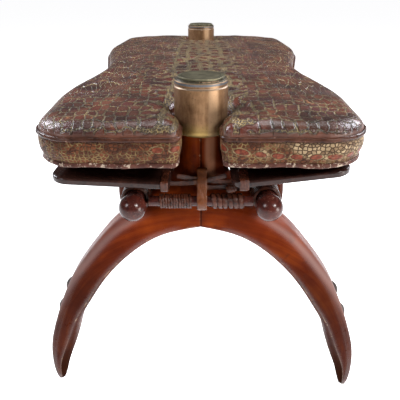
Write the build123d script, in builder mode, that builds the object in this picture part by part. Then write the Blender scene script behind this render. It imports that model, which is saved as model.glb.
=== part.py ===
"""Camel saddle stool: two arched yokes, two rails, two seat boards and a lift-off leather cushion.

Millimetres, +Z up. X runs across the stool, Y along it from the front post (-Y) to the rear post (+Y),
and Z = 0 is the floor under the feet. Each end of the stool is first drawn about its own post axis,
with the outside of that end towards -Y. The front end is moved into place, and the rear end is mirrored.
"""

import math
import os

from build123d import *

os.makedirs("parts", exist_ok=True)

# Overall places
post_spacing = 559.0
half_spacing = post_spacing / 2
front_spot = Location((0, -half_spacing, 0))
front_yoke_twist = 1.6
overrun = 60.0
skin_gap = 0.3

# Yokes, each a pair of mirrored halves butted on the centre seam
crown_clear_height = 255.6
crown_depth = 32.4
leg_reach = 203.5
yoke_thickness = 44.0
# One row a station, from the crown to the foot: inner reach and height, outer reach and height,
# thickness, inner bevel and outer rounding, as shares of the sizes above
leg_station_shares = [
    (0.0, 1.0, 0.0, 1.0, 1.0, 0.05, 0.2),
    (0.221, 0.953, 0.3, 0.966, 1.0, 0.05, 0.2),
    (0.349, 0.89, 0.472, 0.892, 1.0, 0.05, 0.2),
    (0.472, 0.798, 0.595, 0.799, 0.98, 0.06, 0.2),
    (0.582, 0.689, 0.711, 0.691, 0.95, 0.06, 0.2),
    (0.683, 0.559, 0.818, 0.56, 0.91, 0.07, 0.2),
    (0.752, 0.454, 0.894, 0.431, 0.86, 0.12, 0.18),
    (0.801, 0.329, 0.956, 0.305, 0.77, 0.2, 0.18),
    (0.857, 0.203, 0.991, 0.191, 0.66, 0.23, 0.15),
    (0.909, 0.094, 1.0, 0.09, 0.52, 0.18, 0.11),
    (0.931, 0.035, 0.997, 0.034, 0.41, 0.12, 0.09),
    (0.946, 0.0, 0.985, 0.0, 0.32, 0.08, 0.05),
]

# Posts, which rise from the yokes: a bell flare, a straight neck and a head inside the cap
neck_radius = 21.2
flare_sink = 8.0
neck_show = 14.6
post_rise = 132.0
# Height share of the flare, then half width and half depth as shares of the neck radius
post_flare_shares = [
    (0.0, 2.92, 0.99),
    (0.27, 2.4, 1.03),
    (0.455, 1.66, 1.055),
    (0.636, 1.36, 1.06),
    (0.818, 1.15, 1.03),
    (1.0, 1.0, 1.0),
]

# Brass caps
cap_radius = 27.6
cap_height = 59.4
cap_wall = 1.6
cap_fit_gap = 0.3
cap_roll_height = 8.4
cap_rim_height = 11.0
cap_rim_groove = 1.0
# Steps of the rim: how far in, as shares of the groove, and how far up, as shares of the rim height
cap_rim_shares = [
    (0.0, 0.0),
    (1.0, 0.09),
    (1.0, 0.18),
    (0.5, 0.23),
    (0.5, 0.55),
    (1.6, 0.64),
    (1.6, 0.91),
    (2.4, 1.0),
]
# Middle points of the two arcs of the rolled bottom, as shares of its reach and height
cap_roll_outer_shares = (0.8, 0.35)
cap_roll_inner_shares = (0.78, 0.5)
cap_plate_radius = 23.6
cap_plate_thickness = 2.0
cap_plate_drop = 0.6

# Pegs that join the halves of a yoke across the seam
peg_diameter = 8.0
peg_gap = 0.15
crown_peg_drop = 16.0
crown_peg_length = 40.0
post_peg_rise = 44.0
post_peg_length = 26.0

# Studs on the outer faces of the legs
stud_diameter = 15.0
stud_rise = 3.6
stud_shank_diameter = 6.0
stud_shank_length = 9.0
# Reach, height and lean of each stud on a leg, as shares of the leg reach, crown height and a turn
stud_place_shares = [(0.816, 0.56, 0.074), (0.884, 0.4435, 0.064)]

# Rails with turned ball ends
rail_offset = 70.0
rail_lift = 7.5
rail_radius = 11.0
ball_radius = 14.3
ball_ahead = 50.0

# Thong wound round each rail where it lies on a yoke's shoulder
rail_thong_diameter = 3.8
rail_thong_pitch = 4.4
rail_thong_turns = 11
rail_thong_start = 16.0

# Crossbar in front of each post, bound with thong
crossbar_radius = 5.5
crossbar_ahead = 34.6
fine_thong_diameter = 2.3
fine_thong_pitch = 2.8
fine_thong_turns = 12
fine_thong_start = -44.0
broad_thong_diameter = 2.6
broad_thong_pitch = 5.6
broad_thong_turns = 6
broad_thong_start = 10.0
thong_gap = 0.2

# Leather strands crossing in front of the post
strand_width = 5.6
strand_thickness = 1.5
strand_clearance = 2.7
strand_lift = 10.5
strand_band_height = 18.0
strand_half_span = 47.0
# Left reach and height, centre height, right reach and height, then the layer counted outwards
strand_shares = [
    (-0.56, 0.82, 0.52, 1.0, 0.36, 0),
    (-1.0, 0.46, 0.42, 0.58, 0.9, 1),
    (-0.1, 0.04, 0.12, 0.6, 0.14, 1),
]

# Straps looped over the strands and the boards down to the crossbar
loop_thickness = 1.5
centre_strap_width = 10.5
centre_strap_offset = 1.0
strap_lift = 32.5
tie_insets = {"left": 5.5, "right": 12.0}
tie_widths = {"left": 7.5, "right": 9.5}
tie_lifts = {"left": 12.0, "right": 9.0}
knot_length = 12.0
knot_radius = 4.6
knot_offset = 31.8
knot_ahead = 33.6
knot_lift = 13.2
knot_lean = 75.0

# Seat boards
board_inner_share = 1.4623
board_outer_edge = 151.0
board_thickness = 7.0
board_ahead = 55.0
board_inner_round = 14.0
board_outer_round = 18.0
board_edge_round = 2.0
board_lifts = {"left": 24.0, "right": 27.0}
board_tilts = {"left": 3.0, "right": 7.0}
board_slot_gap = 0.5

# Cleats under the boards, seated on the rails, and their nails
cleat_width = 24.0
cleat_length = 76.0
cleat_depth = 18.0
cleat_inset = 44.0
nail_diameter = 2.6
nail_head_diameter = 6.0
nail_head_thickness = 1.2
nail_length = 16.0
nail_offset = 34.0
nail_fit_gap = 0.1
nail_spread_share = 0.25

# Cushion
cushion_ahead = 68.0
cushion_front_half_width = 165.0
cushion_rear_half_width = 175.0
cushion_waist_half_width = 135.0
cushion_corner_round = 46.0
cushion_corner_draw = 6.0
cushion_skew_share = 0.013
cushion_lobe_round = 300.0
cushion_front_lobe_share = 0.6
cushion_rear_lobe_share = 0.42
cushion_waist_round = 350.0
cushion_waist_share = 0.17
cushion_mouth_share = 0.64
cushion_mouth_round_share = 0.296
notch_gap = 4.5
notch_shoulder_drop = 2.0
notch_back_share = 0.9
seam_lift = 78.5
boxing_height = 26.0
crown_rise_across = 6.0
crown_rise_along = 5.0
crown_lift = 21.0
crown_edge_share = 0.84
leather_thickness = 2.0
piping_radius = 2.3
belly_run_across = 25.0
belly_run_along = 74.0
belly_rise = 24.0
welt_drop = 2.0
seat_gap = 0.3

# Heights that stack up from the floor: yokes, posts and caps
crown_top_height = crown_clear_height + crown_depth
crown_peg_height = crown_top_height - crown_peg_drop
post_peg_height = crown_top_height + post_peg_rise
cap_top_height = crown_top_height + post_rise
cap_bottom_height = cap_top_height - cap_height
flare_bottom_height = crown_top_height - flare_sink
flare_top_height = cap_bottom_height - neck_show

# Heights that stack up from the rails: lashings, boards and cushion
rail_height = crown_top_height + rail_lift
strand_band_bottom = rail_height + strand_lift
strap_top_height = rail_height + strap_lift
knot_height = rail_height + knot_lift
tie_low_heights = {side: rail_height + lift for side, lift in tie_lifts.items()}
board_pivot_heights = {side: rail_height + lift for side, lift in board_lifts.items()}
seam_height = rail_height + seam_lift
crown_height = seam_height + crown_lift

# Places that keep clear of the posts and caps
post_depth = neck_radius * max(depth_share for rise, width_share, depth_share in post_flare_shares)
strand_ahead = post_depth + strand_clearance
board_inner_edge = board_inner_share * neck_radius
tie_offsets = {side: board_inner_edge + inset for side, inset in tie_insets.items()}
notch_radius = cap_radius + notch_gap
cushion_mouth_half_width = cushion_mouth_share * notch_radius
cushion_mouth_round = cushion_mouth_round_share * notch_radius
crown_edge_round = crown_edge_share * cushion_mouth_round


def write_piece(builder, label):
    """Name a finished piece and write it to its own file."""
    builder.part.label = label
    export_step(builder.part, f"parts/{label}.step")


def write_ends(shape, name, front_turn=0.0):
    """Write the front copy of an end piece, and its mirror image at the rear."""
    with BuildPart() as front_piece:
        with Locations(front_spot * Location((0, 0, 0), (0, 0, -front_turn))):
            add(shape)
    write_piece(front_piece, f"front_{name}")
    with BuildPart() as rear_piece:
        with Locations(front_spot):
            add(shape)
        mirror(about=Plane.XZ, mode=Mode.REPLACE)
    write_piece(rear_piece, f"rear_{name}")


# Rails

rail_half_length = half_spacing + ball_ahead
rail_wrap_radius = rail_radius + thong_gap + rail_thong_diameter

for side, sign in (("left", -1), ("right", 1)):
    with BuildPart() as rail:
        with Locations(Location((sign * rail_offset, 0, rail_height), (90, 0, 0))):
            Cylinder(rail_radius, 2 * rail_half_length)
        with Locations(
            (sign * rail_offset, -rail_half_length, rail_height),
            (sign * rail_offset, rail_half_length, rail_height),
        ):
            Sphere(ball_radius)
    write_piece(rail, f"rail_{side}")


# Thong windings

def winding(core_radius, thong_diameter, pitch, turns):
    """A thong wound round the Z axis from Z = 0, one unbroken tube with short straight ends."""
    coil_radius = core_radius + thong_gap + thong_diameter / 2
    rise = pitch / 2

    def point(half_turns):
        angle = math.pi * half_turns
        return Vector(coil_radius * math.cos(angle), coil_radius * math.sin(angle), rise * half_turns)

    def heading(half_turns):
        angle = math.pi * half_turns
        slope = rise / math.pi
        return Vector(-coil_radius * math.sin(angle), coil_radius * math.cos(angle), slope).normalized()

    centres = []
    with BuildLine() as route:
        first = point(0) - heading(0) * thong_diameter
        Line(first, point(0))
        for step in range(2 * turns):
            here, there = point(step), point(step + 1)
            start, end = heading(step), heading(step + 1)
            span = there - here
            along = span.dot(start + end)
            bend = 2 * (1 - start.dot(end))
            reach = (-along + math.sqrt(along**2 + bend * span.dot(span))) / bend
            joint = (here + there + (start - end) * reach) / 2
            arc_in = TangentArc(here, joint, tangent=start)
            arc_out = TangentArc(joint, there, tangent=arc_in % 1)
            centres += [arc_in @ 0, arc_in @ 0.5, arc_out @ 0, arc_out @ 0.5]
        last = point(2 * turns)
        Line(last, last + heading(2 * turns) * thong_diameter)
    per_turn = 8
    gap = min(
        (centres[i] - centres[j]).length - thong_diameter
        for i in range(len(centres))
        for j in range(i + per_turn // 2, len(centres))
    )
    print(f"winding of {turns} turns: least gap to itself {gap:.2f} mm")
    with BuildPart() as thong:
        with BuildSketch(Plane(origin=first, z_dir=heading(0))):
            Circle(thong_diameter / 2)
        sweep(path=route.wire())
    return thong.part


rail_thong = winding(rail_radius, rail_thong_diameter, rail_thong_pitch, rail_thong_turns)
fine_thong = winding(crossbar_radius, fine_thong_diameter, fine_thong_pitch, fine_thong_turns)
broad_thong = winding(crossbar_radius, broad_thong_diameter, broad_thong_pitch, broad_thong_turns)

for side, sign in (("left", -1), ("right", 1)):
    with BuildPart() as rail_binding:
        with Locations(Location((sign * rail_offset, rail_thong_start, rail_height), (90, 0, 0))):
            add(rail_thong)
    write_ends(rail_binding.part, f"rail_binding_{side}")

for name, thong, start in (
    ("crossbar_fine_binding", fine_thong, fine_thong_start),
    ("crossbar_broad_binding", broad_thong, broad_thong_start),
):
    with BuildPart() as crossbar_binding:
        with Locations(Location((start, -crossbar_ahead, rail_height), (0, 90, 0))):
            add(thong)
    write_ends(crossbar_binding.part, name)

crossbar_half_length = rail_offset - rail_wrap_radius - skin_gap

with BuildPart() as crossbar:
    with Locations(Location((0, -crossbar_ahead, rail_height), (0, 90, 0))):
        Cylinder(crossbar_radius, 2 * crossbar_half_length)
write_ends(crossbar.part, "crossbar")


# Yoke halves

cap_inner_radius = cap_radius - cap_wall
head_radius = cap_inner_radius - cap_fit_gap
head_top_height = cap_top_height - cap_plate_drop - cap_plate_thickness - cap_fit_gap
head_bottom_height = cap_bottom_height + cap_roll_height + cap_wall


def leg_section(inner, outer, thickness, bevel, rounding):
    """One cross-section of a leg, on the plane through its inner and outer points."""
    across = outer - inner
    width = across.length
    half = thickness / 2
    diagonal = rounding * math.sin(math.radians(45))
    with BuildSketch(Plane(origin=inner, x_dir=across, z_dir=across.cross(Vector(0, 1, 0)))) as section:
        with BuildLine():
            Polyline((0, bevel - half), (bevel, -half), (width - rounding, -half))
            ThreePointArc(
                (width - rounding, -half),
                (width - rounding + diagonal, rounding - half - diagonal),
                (width, rounding - half),
            )
            Line((width, rounding - half), (width, half - rounding))
            ThreePointArc(
                (width, half - rounding),
                (width - rounding + diagonal, half - rounding + diagonal),
                (width - rounding, half),
            )
            Polyline((width - rounding, half), (bevel, half), (0, half - bevel), (0, bevel - half))
        make_face()
    return section.sketch


# The loft starts past the seam, on the mirror image of the second station, so the crown is smooth there
inner_x, inner_z, outer_x, outer_z, *second_edges = leg_station_shares[1]
stations = [(-inner_x, inner_z, -outer_x, outer_z, *second_edges)] + leg_station_shares
leg_sections = [
    leg_section(
        Vector(inner_x * leg_reach, 0, inner_z * crown_clear_height),
        Vector(outer_x * leg_reach, 0, outer_z * crown_top_height),
        thick * yoke_thickness,
        bevel * yoke_thickness,
        rounding * yoke_thickness,
    )
    for inner_x, inner_z, outer_x, outer_z, thick, bevel, rounding in stations
]

with BuildPart() as leg:
    loft(sections=leg_sections)
    split(bisect_by=Plane.YZ, keep=Keep.TOP)

with BuildPart() as post:
    for height_share, width_share, depth_share in post_flare_shares:
        height = flare_bottom_height + height_share * (flare_top_height - flare_bottom_height)
        with BuildSketch(Plane.XY.offset(height)):
            Ellipse(width_share * neck_radius, depth_share * neck_radius)
    loft()
    with BuildSketch(Plane.XZ):
        with BuildLine():
            Polyline(
                (0, flare_top_height),
                (neck_radius, flare_top_height),
                (neck_radius, head_bottom_height - (head_radius - neck_radius)),
                (head_radius, head_bottom_height),
                (head_radius, head_top_height),
                (0, head_top_height),
                (0, flare_top_height),
            )
        make_face()
    revolve(axis=Axis.Z)
    split(bisect_by=Plane.YZ, keep=Keep.TOP)

stud_places = []
for reach_share, height_share, turn_share in stud_place_shares:
    place = Location(
        (reach_share * leg_reach, 0, height_share * crown_top_height), (0, 90 - 360 * turn_share, 0)
    )
    stud_places.append(place)

with BuildPart() as yoke_half:
    add(leg.part)
    add(post.part)
    for peg_height, peg_length in (
        (crown_peg_height, crown_peg_length),
        (post_peg_height, post_peg_length),
    ):
        with Locations(Location((0, 0, peg_height), (0, 90, 0))):
            Cylinder(peg_diameter / 2 + peg_gap, peg_length + 2 * peg_gap, mode=Mode.SUBTRACT)
    with Locations(*stud_places):
        Cylinder(
            stud_shank_diameter / 2 + peg_gap,
            2 * (stud_shank_length + peg_gap),
            mode=Mode.SUBTRACT,
        )
        Cylinder(
            stud_diameter / 2 + peg_gap,
            overrun,
            align=(Align.CENTER, Align.CENTER, Align.MIN),
            mode=Mode.SUBTRACT,
        )

for side in ("left", "right"):
    with BuildPart() as placed_half:
        add(yoke_half.part)
        if side == "left":
            mirror(about=Plane.YZ, mode=Mode.REPLACE)
    for end, turn, flip in (("front", -front_yoke_twist, False), ("rear", 0, True)):
        with BuildPart() as yoke:
            with Locations(front_spot * Location((0, 0, 0), (0, 0, turn))):
                add(placed_half.part)
            if flip:
                mirror(about=Plane.XZ, mode=Mode.REPLACE)
            with Locations(
                Location((-rail_offset, 0, rail_height), (90, 0, 0)),
                Location((rail_offset, 0, rail_height), (90, 0, 0)),
            ):
                Cylinder(rail_wrap_radius + skin_gap, 2 * rail_half_length, mode=Mode.SUBTRACT)
        write_piece(yoke, f"{end}_yoke_{side}")

with BuildPart() as pegs:
    for peg_height, peg_length in (
        (crown_peg_height, crown_peg_length),
        (post_peg_height, post_peg_length),
    ):
        with Locations(Location((0, 0, peg_height), (0, 90, 0))):
            Cylinder(peg_diameter / 2, peg_length)
write_ends(pegs.part, "yoke_pegs", front_yoke_twist)

stud_edge_height = stud_rise / 3
dome_rise = stud_rise - stud_edge_height
dome_radius = ((stud_diameter / 2) ** 2 + dome_rise**2) / (2 * dome_rise)
half_lean = math.asin(stud_diameter / 2 / dome_radius) / 2

with BuildPart() as stud:
    with BuildSketch(Plane.XZ):
        with BuildLine():
            Polyline(
                (0, -stud_shank_length),
                (stud_shank_diameter / 2, -stud_shank_length),
                (stud_shank_diameter / 2, 0),
                (stud_diameter / 2, 0),
                (stud_diameter / 2, stud_edge_height),
            )
            ThreePointArc(
                (stud_diameter / 2, stud_edge_height),
                (
                    dome_radius * math.sin(half_lean),
                    stud_rise - dome_radius * (1 - math.cos(half_lean)),
                ),
                (0, stud_rise),
            )
            Line((0, stud_rise), (0, -stud_shank_length))
        make_face()
    revolve(axis=Axis.Z)

with BuildPart() as studs:
    with Locations(*stud_places):
        add(stud.part)
    mirror(about=Plane.YZ)
write_ends(studs.part, "leg_studs", front_yoke_twist)


# Brass caps

opening = neck_radius + cap_fit_gap
roll_top = cap_bottom_height + cap_roll_height
body_top = cap_top_height - cap_rim_height
plate_seat_radius = cap_plate_radius + cap_fit_gap
plate_seat_height = head_top_height + cap_fit_gap


def roll_point(radius, shares):
    """The middle point of one arc of the rolled bottom, between the opening and a radius."""
    reach_share, rise_share = shares
    return (opening + (radius - opening) * reach_share, cap_bottom_height + cap_roll_height * rise_share)


with BuildPart() as cap_shell:
    with BuildSketch(Plane.XZ):
        with BuildLine():
            ThreePointArc(
                (opening, cap_bottom_height),
                roll_point(cap_radius, cap_roll_outer_shares),
                (cap_radius, roll_top),
            )
            rim = [
                (cap_radius - inward * cap_rim_groove, body_top + upward * cap_rim_height)
                for inward, upward in cap_rim_shares
            ]
            Polyline(
                (cap_radius, roll_top),
                *rim,
                (plate_seat_radius, cap_top_height),
                (plate_seat_radius, plate_seat_height),
                (cap_inner_radius, plate_seat_height),
                (cap_inner_radius, roll_top),
            )
            ThreePointArc(
                (cap_inner_radius, roll_top),
                roll_point(cap_inner_radius, cap_roll_inner_shares),
                (opening, cap_bottom_height + cap_wall),
            )
            Line((opening, cap_bottom_height + cap_wall), (opening, cap_bottom_height))
        make_face()
    revolve(axis=Axis.Z)
write_ends(cap_shell.part, "cap_shell")

with BuildPart() as cap_plate:
    with BuildSketch(Plane.XY.offset(plate_seat_height)):
        Circle(cap_plate_radius)
    extrude(amount=cap_plate_thickness)
    fillet(cap_plate.faces().sort_by(Axis.Z)[-1].edges(), cap_plate_thickness / 3)
write_ends(cap_plate.part, "cap_plate")


# Seat boards, cleats and nails

board_half_length = half_spacing + board_ahead
board_planes = {
    side: Plane(Location((rail_offset, 0, board_pivot_heights[side]), (0, -board_tilts[side], 0)))
    for side in ("left", "right")
}


def board_top(side, reach):
    """Height of a board's top face at a distance from the stool's middle plane."""
    tilt = math.radians(board_tilts[side])
    rise = (reach - rail_offset) * math.tan(tilt)
    return board_pivot_heights[side] + rise + board_thickness / math.cos(tilt)


nail_spots = [
    (shift, end * (half_spacing - cleat_inset) + spread)
    for end in (-1, 1)
    for shift in (-nail_offset, nail_offset)
    for spread in (-nail_spread_share * cleat_width, nail_spread_share * cleat_width)
]

for side in ("left", "right"):
    plane = board_planes[side]
    nail_places = [plane.location * Location((x, y, board_thickness)) for x, y in nail_spots]
    slot_ahead = strand_ahead - skin_gap - loop_thickness / 2

    with BuildPart() as board:
        with BuildSketch(plane) as outline:
            with Locations(((board_inner_edge + board_outer_edge) / 2 - rail_offset, 0)):
                Rectangle(board_outer_edge - board_inner_edge, 2 * board_half_length)
            fillet(outline.vertices().sort_by(Axis.X)[-2:], board_outer_round)
            fillet(outline.vertices().sort_by(Axis.X)[:2], board_inner_round)
        extrude(amount=board_thickness)
        rims = board.faces().sort_by(Axis(plane.origin, plane.z_dir))
        fillet(rims[0].edges() + rims[-1].edges(), board_edge_round)
        for end in (-1, 1):
            slot_place = (tie_offsets[side], end * (half_spacing + slot_ahead), board_pivot_heights[side])
            with Locations(slot_place):
                Box(
                    tie_widths[side] + 2 * board_slot_gap,
                    loop_thickness + 2 * board_slot_gap,
                    overrun,
                    mode=Mode.SUBTRACT,
                )
        with Locations(*nail_places):
            CounterBoreHole(
                nail_diameter / 2 + nail_fit_gap,
                nail_head_diameter / 2 + nail_fit_gap,
                nail_head_thickness,
            )
        if side == "left":
            mirror(about=Plane.YZ, mode=Mode.REPLACE)
    write_piece(board, f"board_{side}")

    with BuildPart() as cleats:
        with BuildSketch(plane):
            with Locations((0, cleat_inset - half_spacing), (0, half_spacing - cleat_inset)):
                Rectangle(cleat_length, cleat_width)
        extrude(amount=-cleat_depth)
        with Locations(Location((rail_offset, 0, rail_height), (90, 0, 0))):
            Cylinder(rail_radius + skin_gap, 2 * half_spacing, mode=Mode.SUBTRACT)
        with Locations(*nail_places):
            Cylinder(nail_diameter / 2 + nail_fit_gap, 2 * (nail_length + nail_fit_gap), mode=Mode.SUBTRACT)
        if side == "left":
            mirror(about=Plane.YZ, mode=Mode.REPLACE)
    write_piece(cleats, f"board_cleats_{side}")

    with BuildPart() as nails:
        with Locations(*nail_places):
            Cylinder(nail_diameter / 2, nail_length, align=(Align.CENTER, Align.CENTER, Align.MAX))
            Cylinder(
                nail_head_diameter / 2, nail_head_thickness, align=(Align.CENTER, Align.CENTER, Align.MAX)
            )
        if side == "left":
            mirror(about=Plane.YZ, mode=Mode.REPLACE)
    write_piece(nails, f"board_nails_{side}")


# Leather strands, straps, ties and knots

strand_layer = strand_thickness + skin_gap

with BuildPart() as strands:
    for left_reach, left_rise, middle_rise, right_reach, right_rise, layer in strand_shares:
        middle_reach = (left_reach + right_reach) / 2
        corners = [
            (reach * strand_half_span, strand_band_bottom + rise * strand_band_height)
            for reach, rise in (
                (left_reach, left_rise),
                (middle_reach, middle_rise),
                (right_reach, right_rise),
            )
        ]
        with BuildSketch(Plane.XZ.offset(strand_ahead + layer * strand_layer)):
            SlotArc(Edge.make_three_point_arc(*corners), strand_width)
        extrude(amount=strand_thickness)
write_ends(strands.part, "post_strands")

strand_depth = 2 * strand_layer
bar_wrap_radius = crossbar_radius + thong_gap + broad_thong_diameter + skin_gap


def strap_loop(inner_ahead, outer_ahead, low_heights, top_height, offset, width, round_bar=False):
    """A flat strap looped in the YZ plane round a bundle, and round the crossbar below if asked."""
    inner_low_height, outer_low_height = low_heights
    with BuildPart() as loop:
        for thickness, mode in ((loop_thickness, Mode.ADD), (0, Mode.SUBTRACT)):
            with BuildSketch(Plane.YZ.offset(offset)):
                if round_bar:
                    with Locations((-crossbar_ahead, rail_height)):
                        Circle(bar_wrap_radius + thickness)
                with Locations(
                    (-inner_ahead, inner_low_height),
                    (-inner_ahead, top_height),
                    (-outer_ahead, top_height),
                    (-outer_ahead, outer_low_height),
                ):
                    Circle(skin_gap + thickness)
                make_hull()
            extrude(amount=width / 2, both=True, mode=mode)
    return loop.part


centre_strap = strap_loop(
    strand_ahead,
    strand_ahead + strand_depth,
    (strand_band_bottom, strand_band_bottom),
    strap_top_height,
    centre_strap_offset,
    centre_strap_width,
    round_bar=True,
)
write_ends(centre_strap, "centre_strap")

for side, sign in (("left", -1), ("right", 1)):
    outer_reach = tie_offsets[side] + tie_widths[side] / 2
    inner_reach = tie_offsets[side] - tie_widths[side] / 2
    tie = strap_loop(
        strand_ahead,
        board_ahead,
        (tie_low_heights[side], board_top(side, inner_reach) - board_thickness),
        board_top(side, outer_reach),
        sign * tie_offsets[side],
        tie_widths[side],
    )
    write_ends(tie, f"board_tie_{side}")

with BuildPart() as knot:
    with BuildSketch(Plane.XZ) as knot_profile:
        Ellipse(knot_radius, knot_length / 2)
        with Locations((-knot_radius, 0)):
            Rectangle(2 * knot_radius, knot_length, mode=Mode.SUBTRACT)
    revolve(axis=Axis.Z)

with BuildPart() as placed_knot:
    with Locations(Location((knot_offset, -knot_ahead, knot_height), (0, knot_lean, 0))):
        add(knot.part)
write_ends(placed_knot.part, "strand_knot")


# Cushion

cushion_half_length = half_spacing + cushion_ahead
welt_height = seam_height - boxing_height
# The right half of the plan from front to rear: reach, place along Y and corner round
front_corner = (cushion_front_half_width - cushion_corner_draw, -cushion_half_length)
rear_corner = (cushion_rear_half_width - cushion_corner_draw, cushion_half_length)


def notch_corners(end):
    """The corners of the keyhole notch round a post, from the mouth inwards, on the right side."""
    shoulder = half_spacing + notch_radius
    return [
        (cushion_mouth_half_width, end * cushion_half_length, cushion_mouth_round),
        (cushion_mouth_half_width, end * (shoulder - notch_shoulder_drop), cushion_mouth_round),
        (notch_radius, end * (half_spacing + 2 * notch_shoulder_drop), cushion_mouth_round),
        (notch_radius, end * (half_spacing - notch_radius), notch_radius * notch_back_share),
    ]


sides = [
    (*front_corner, cushion_corner_round),
    (cushion_front_half_width, -cushion_front_lobe_share * cushion_half_length, cushion_lobe_round),
    (cushion_waist_half_width, -cushion_waist_share * cushion_half_length, cushion_waist_round),
    (cushion_rear_half_width, cushion_rear_lobe_share * cushion_half_length, cushion_lobe_round),
    (*rear_corner, cushion_corner_round),
]
skews = [0, 0] + [cushion_skew_share * y for x, y, rounding in sides[2:]]
right_sides = [(skew + x, y, rounding) for skew, (x, y, rounding) in zip(skews, sides)]
left_sides = [(skew - x, y, rounding) for skew, (x, y, rounding) in zip(skews, sides)]
notches = [notch_corners(-1)[::-1], notch_corners(1)]
mirrored = [[(-x, y, rounding) for x, y, rounding in reversed(notch)] for notch in notches]
plan_corners = notches[0] + right_sides + notches[1] + mirrored[1] + left_sides[::-1] + mirrored[0]


def cushion_plan(height, growth):
    """The cushion's outline grown by a distance, as a sketch at a height."""
    with BuildSketch(Plane.XY.offset(height)) as plan:
        with BuildLine():
            FilletPolyline(
                *[(x, y) for x, y, rounding in plan_corners],
                radius=[rounding for x, y, rounding in plan_corners],
                close=True,
            )
        make_face()
        if growth:
            offset(amount=growth)
    return plan.sketch


def cushion_body(inset):
    """The whole cushion drawn in by a distance on every face."""
    top = crown_height - inset
    crown_radius = cushion_half_length**2 / (2 * crown_rise_along)
    half_width = cushion_rear_half_width
    flat = welt_height - belly_rise + inset
    rise_end = welt_height - welt_drop + inset
    reach = half_width + overrun
    with BuildPart() as crown:
        with BuildSketch(Plane.XZ) as crown_section:
            with BuildLine():
                ThreePointArc(
                    (-half_width, top - crown_rise_across), (0, top), (half_width, top - crown_rise_across)
                )
                Polyline(
                    (half_width, top - crown_rise_across),
                    (half_width, flat - overrun),
                    (-half_width, flat - overrun),
                    (-half_width, top - crown_rise_across),
                )
            make_face()
        turn = math.degrees(math.asin((cushion_half_length + overrun) / crown_radius))
        axle = Axis((0, 0, top - crown_radius), (1, 0, 0))
        revolve(axis=axle, revolution_arc=turn)
        mirror(about=Plane.XZ)
    edge = cushion_front_half_width - belly_run_across
    left_seat, right_seat = (
        [(sign * x, board_top(side, x) + seat_gap + inset) for x in (edge, board_inner_edge)]
        for side, sign in (("left", -1), ("right", 1))
    )
    with BuildPart() as across:
        with BuildSketch(Plane.XZ):
            with BuildLine():
                Polyline(
                    (-reach, rise_end),
                    (-cushion_front_half_width, rise_end),
                    *left_seat,
                    *reversed(right_seat),
                    (cushion_front_half_width, rise_end),
                    (reach, rise_end),
                    (reach, top + overrun),
                    (-reach, top + overrun),
                    close=True,
                )
            make_face()
        extrude(amount=cushion_half_length + overrun, both=True)
    with BuildPart() as along:
        with BuildSketch(Plane.YZ):
            with BuildLine():
                run_start = cushion_half_length - belly_run_along
                far = cushion_half_length + overrun
                Polyline(
                    (-far, rise_end),
                    (-cushion_half_length, rise_end),
                    (-run_start, flat),
                    (run_start, flat),
                    (cushion_half_length, rise_end),
                    (far, rise_end),
                    (far, top + overrun),
                    (-far, top + overrun),
                    close=True,
                )
            make_face()
        extrude(amount=reach, both=True)
    with BuildPart() as body:
        add(cushion_plan(flat, -inset))
        extrude(amount=top + overrun - flat)
        add(crown.part, mode=Mode.INTERSECT)
        fillet(body.faces().sort_by(Axis.Z)[-1].edges(), crown_edge_round - inset)
        add(across.part, mode=Mode.INTERSECT)
        add(along.part, mode=Mode.INTERSECT)
    return body.part


outer_body = cushion_body(0)
inner_body = cushion_body(leather_thickness)
filling_body = cushion_body(leather_thickness + skin_gap)

with BuildPart() as filling:
    add(filling_body)
write_piece(filling, "cushion_filling")

band_gap = piping_radius + skin_gap
bands = {
    "cushion_top": (seam_height + band_gap, None),
    "cushion_boxing": (welt_height + band_gap, seam_height - band_gap),
    "cushion_base": (None, welt_height - band_gap),
}
with BuildPart() as leather:
    add(outer_body)
    add(inner_body, mode=Mode.SUBTRACT)

for name, (low, high) in bands.items():
    with BuildPart() as band:
        add(leather.part)
        if low is not None:
            split(bisect_by=Plane.XY.offset(low), keep=Keep.TOP)
        if high is not None:
            split(bisect_by=Plane.XY.offset(high), keep=Keep.BOTTOM)
    write_piece(band, name)

for name, height in (("cushion_piping", seam_height), ("cushion_welt", welt_height)):
    route = cushion_plan(height, piping_radius - leather_thickness).face().outer_wire()
    with BuildPart() as cord:
        with BuildSketch(Plane(origin=route @ 0, z_dir=route % 0)):
            Circle(piping_radius)
        sweep(path=route)
    write_piece(cord, name)
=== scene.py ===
"""Camel saddle stool, dressed for one view: a leather cushion on lashed wooden yokes with brass caps.

Metres, +Z up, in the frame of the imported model. Sizes inside the builders are in millimetres.
"""

import logging
import math
from dataclasses import dataclass, field
from enum import Enum
from typing import Dict, List, Optional, Sequence, Tuple, Union

import bpy
import numpy as np
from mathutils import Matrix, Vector
from mathutils.geometry import delaunay_2d_cdt
from mathutils.kdtree import KDTree


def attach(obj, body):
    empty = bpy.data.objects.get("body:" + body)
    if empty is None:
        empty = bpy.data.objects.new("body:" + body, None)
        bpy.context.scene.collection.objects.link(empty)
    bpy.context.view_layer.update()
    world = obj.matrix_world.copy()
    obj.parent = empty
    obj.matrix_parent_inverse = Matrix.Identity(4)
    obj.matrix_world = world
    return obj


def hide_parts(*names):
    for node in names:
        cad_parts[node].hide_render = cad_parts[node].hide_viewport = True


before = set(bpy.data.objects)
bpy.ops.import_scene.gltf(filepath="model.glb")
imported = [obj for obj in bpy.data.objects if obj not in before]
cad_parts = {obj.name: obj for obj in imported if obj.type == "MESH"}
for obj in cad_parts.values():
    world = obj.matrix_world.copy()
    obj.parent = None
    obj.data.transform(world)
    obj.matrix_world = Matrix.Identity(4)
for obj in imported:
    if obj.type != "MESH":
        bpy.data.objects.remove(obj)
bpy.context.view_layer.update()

MM = 0.001
LOG = logging.getLogger("stool")

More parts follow.
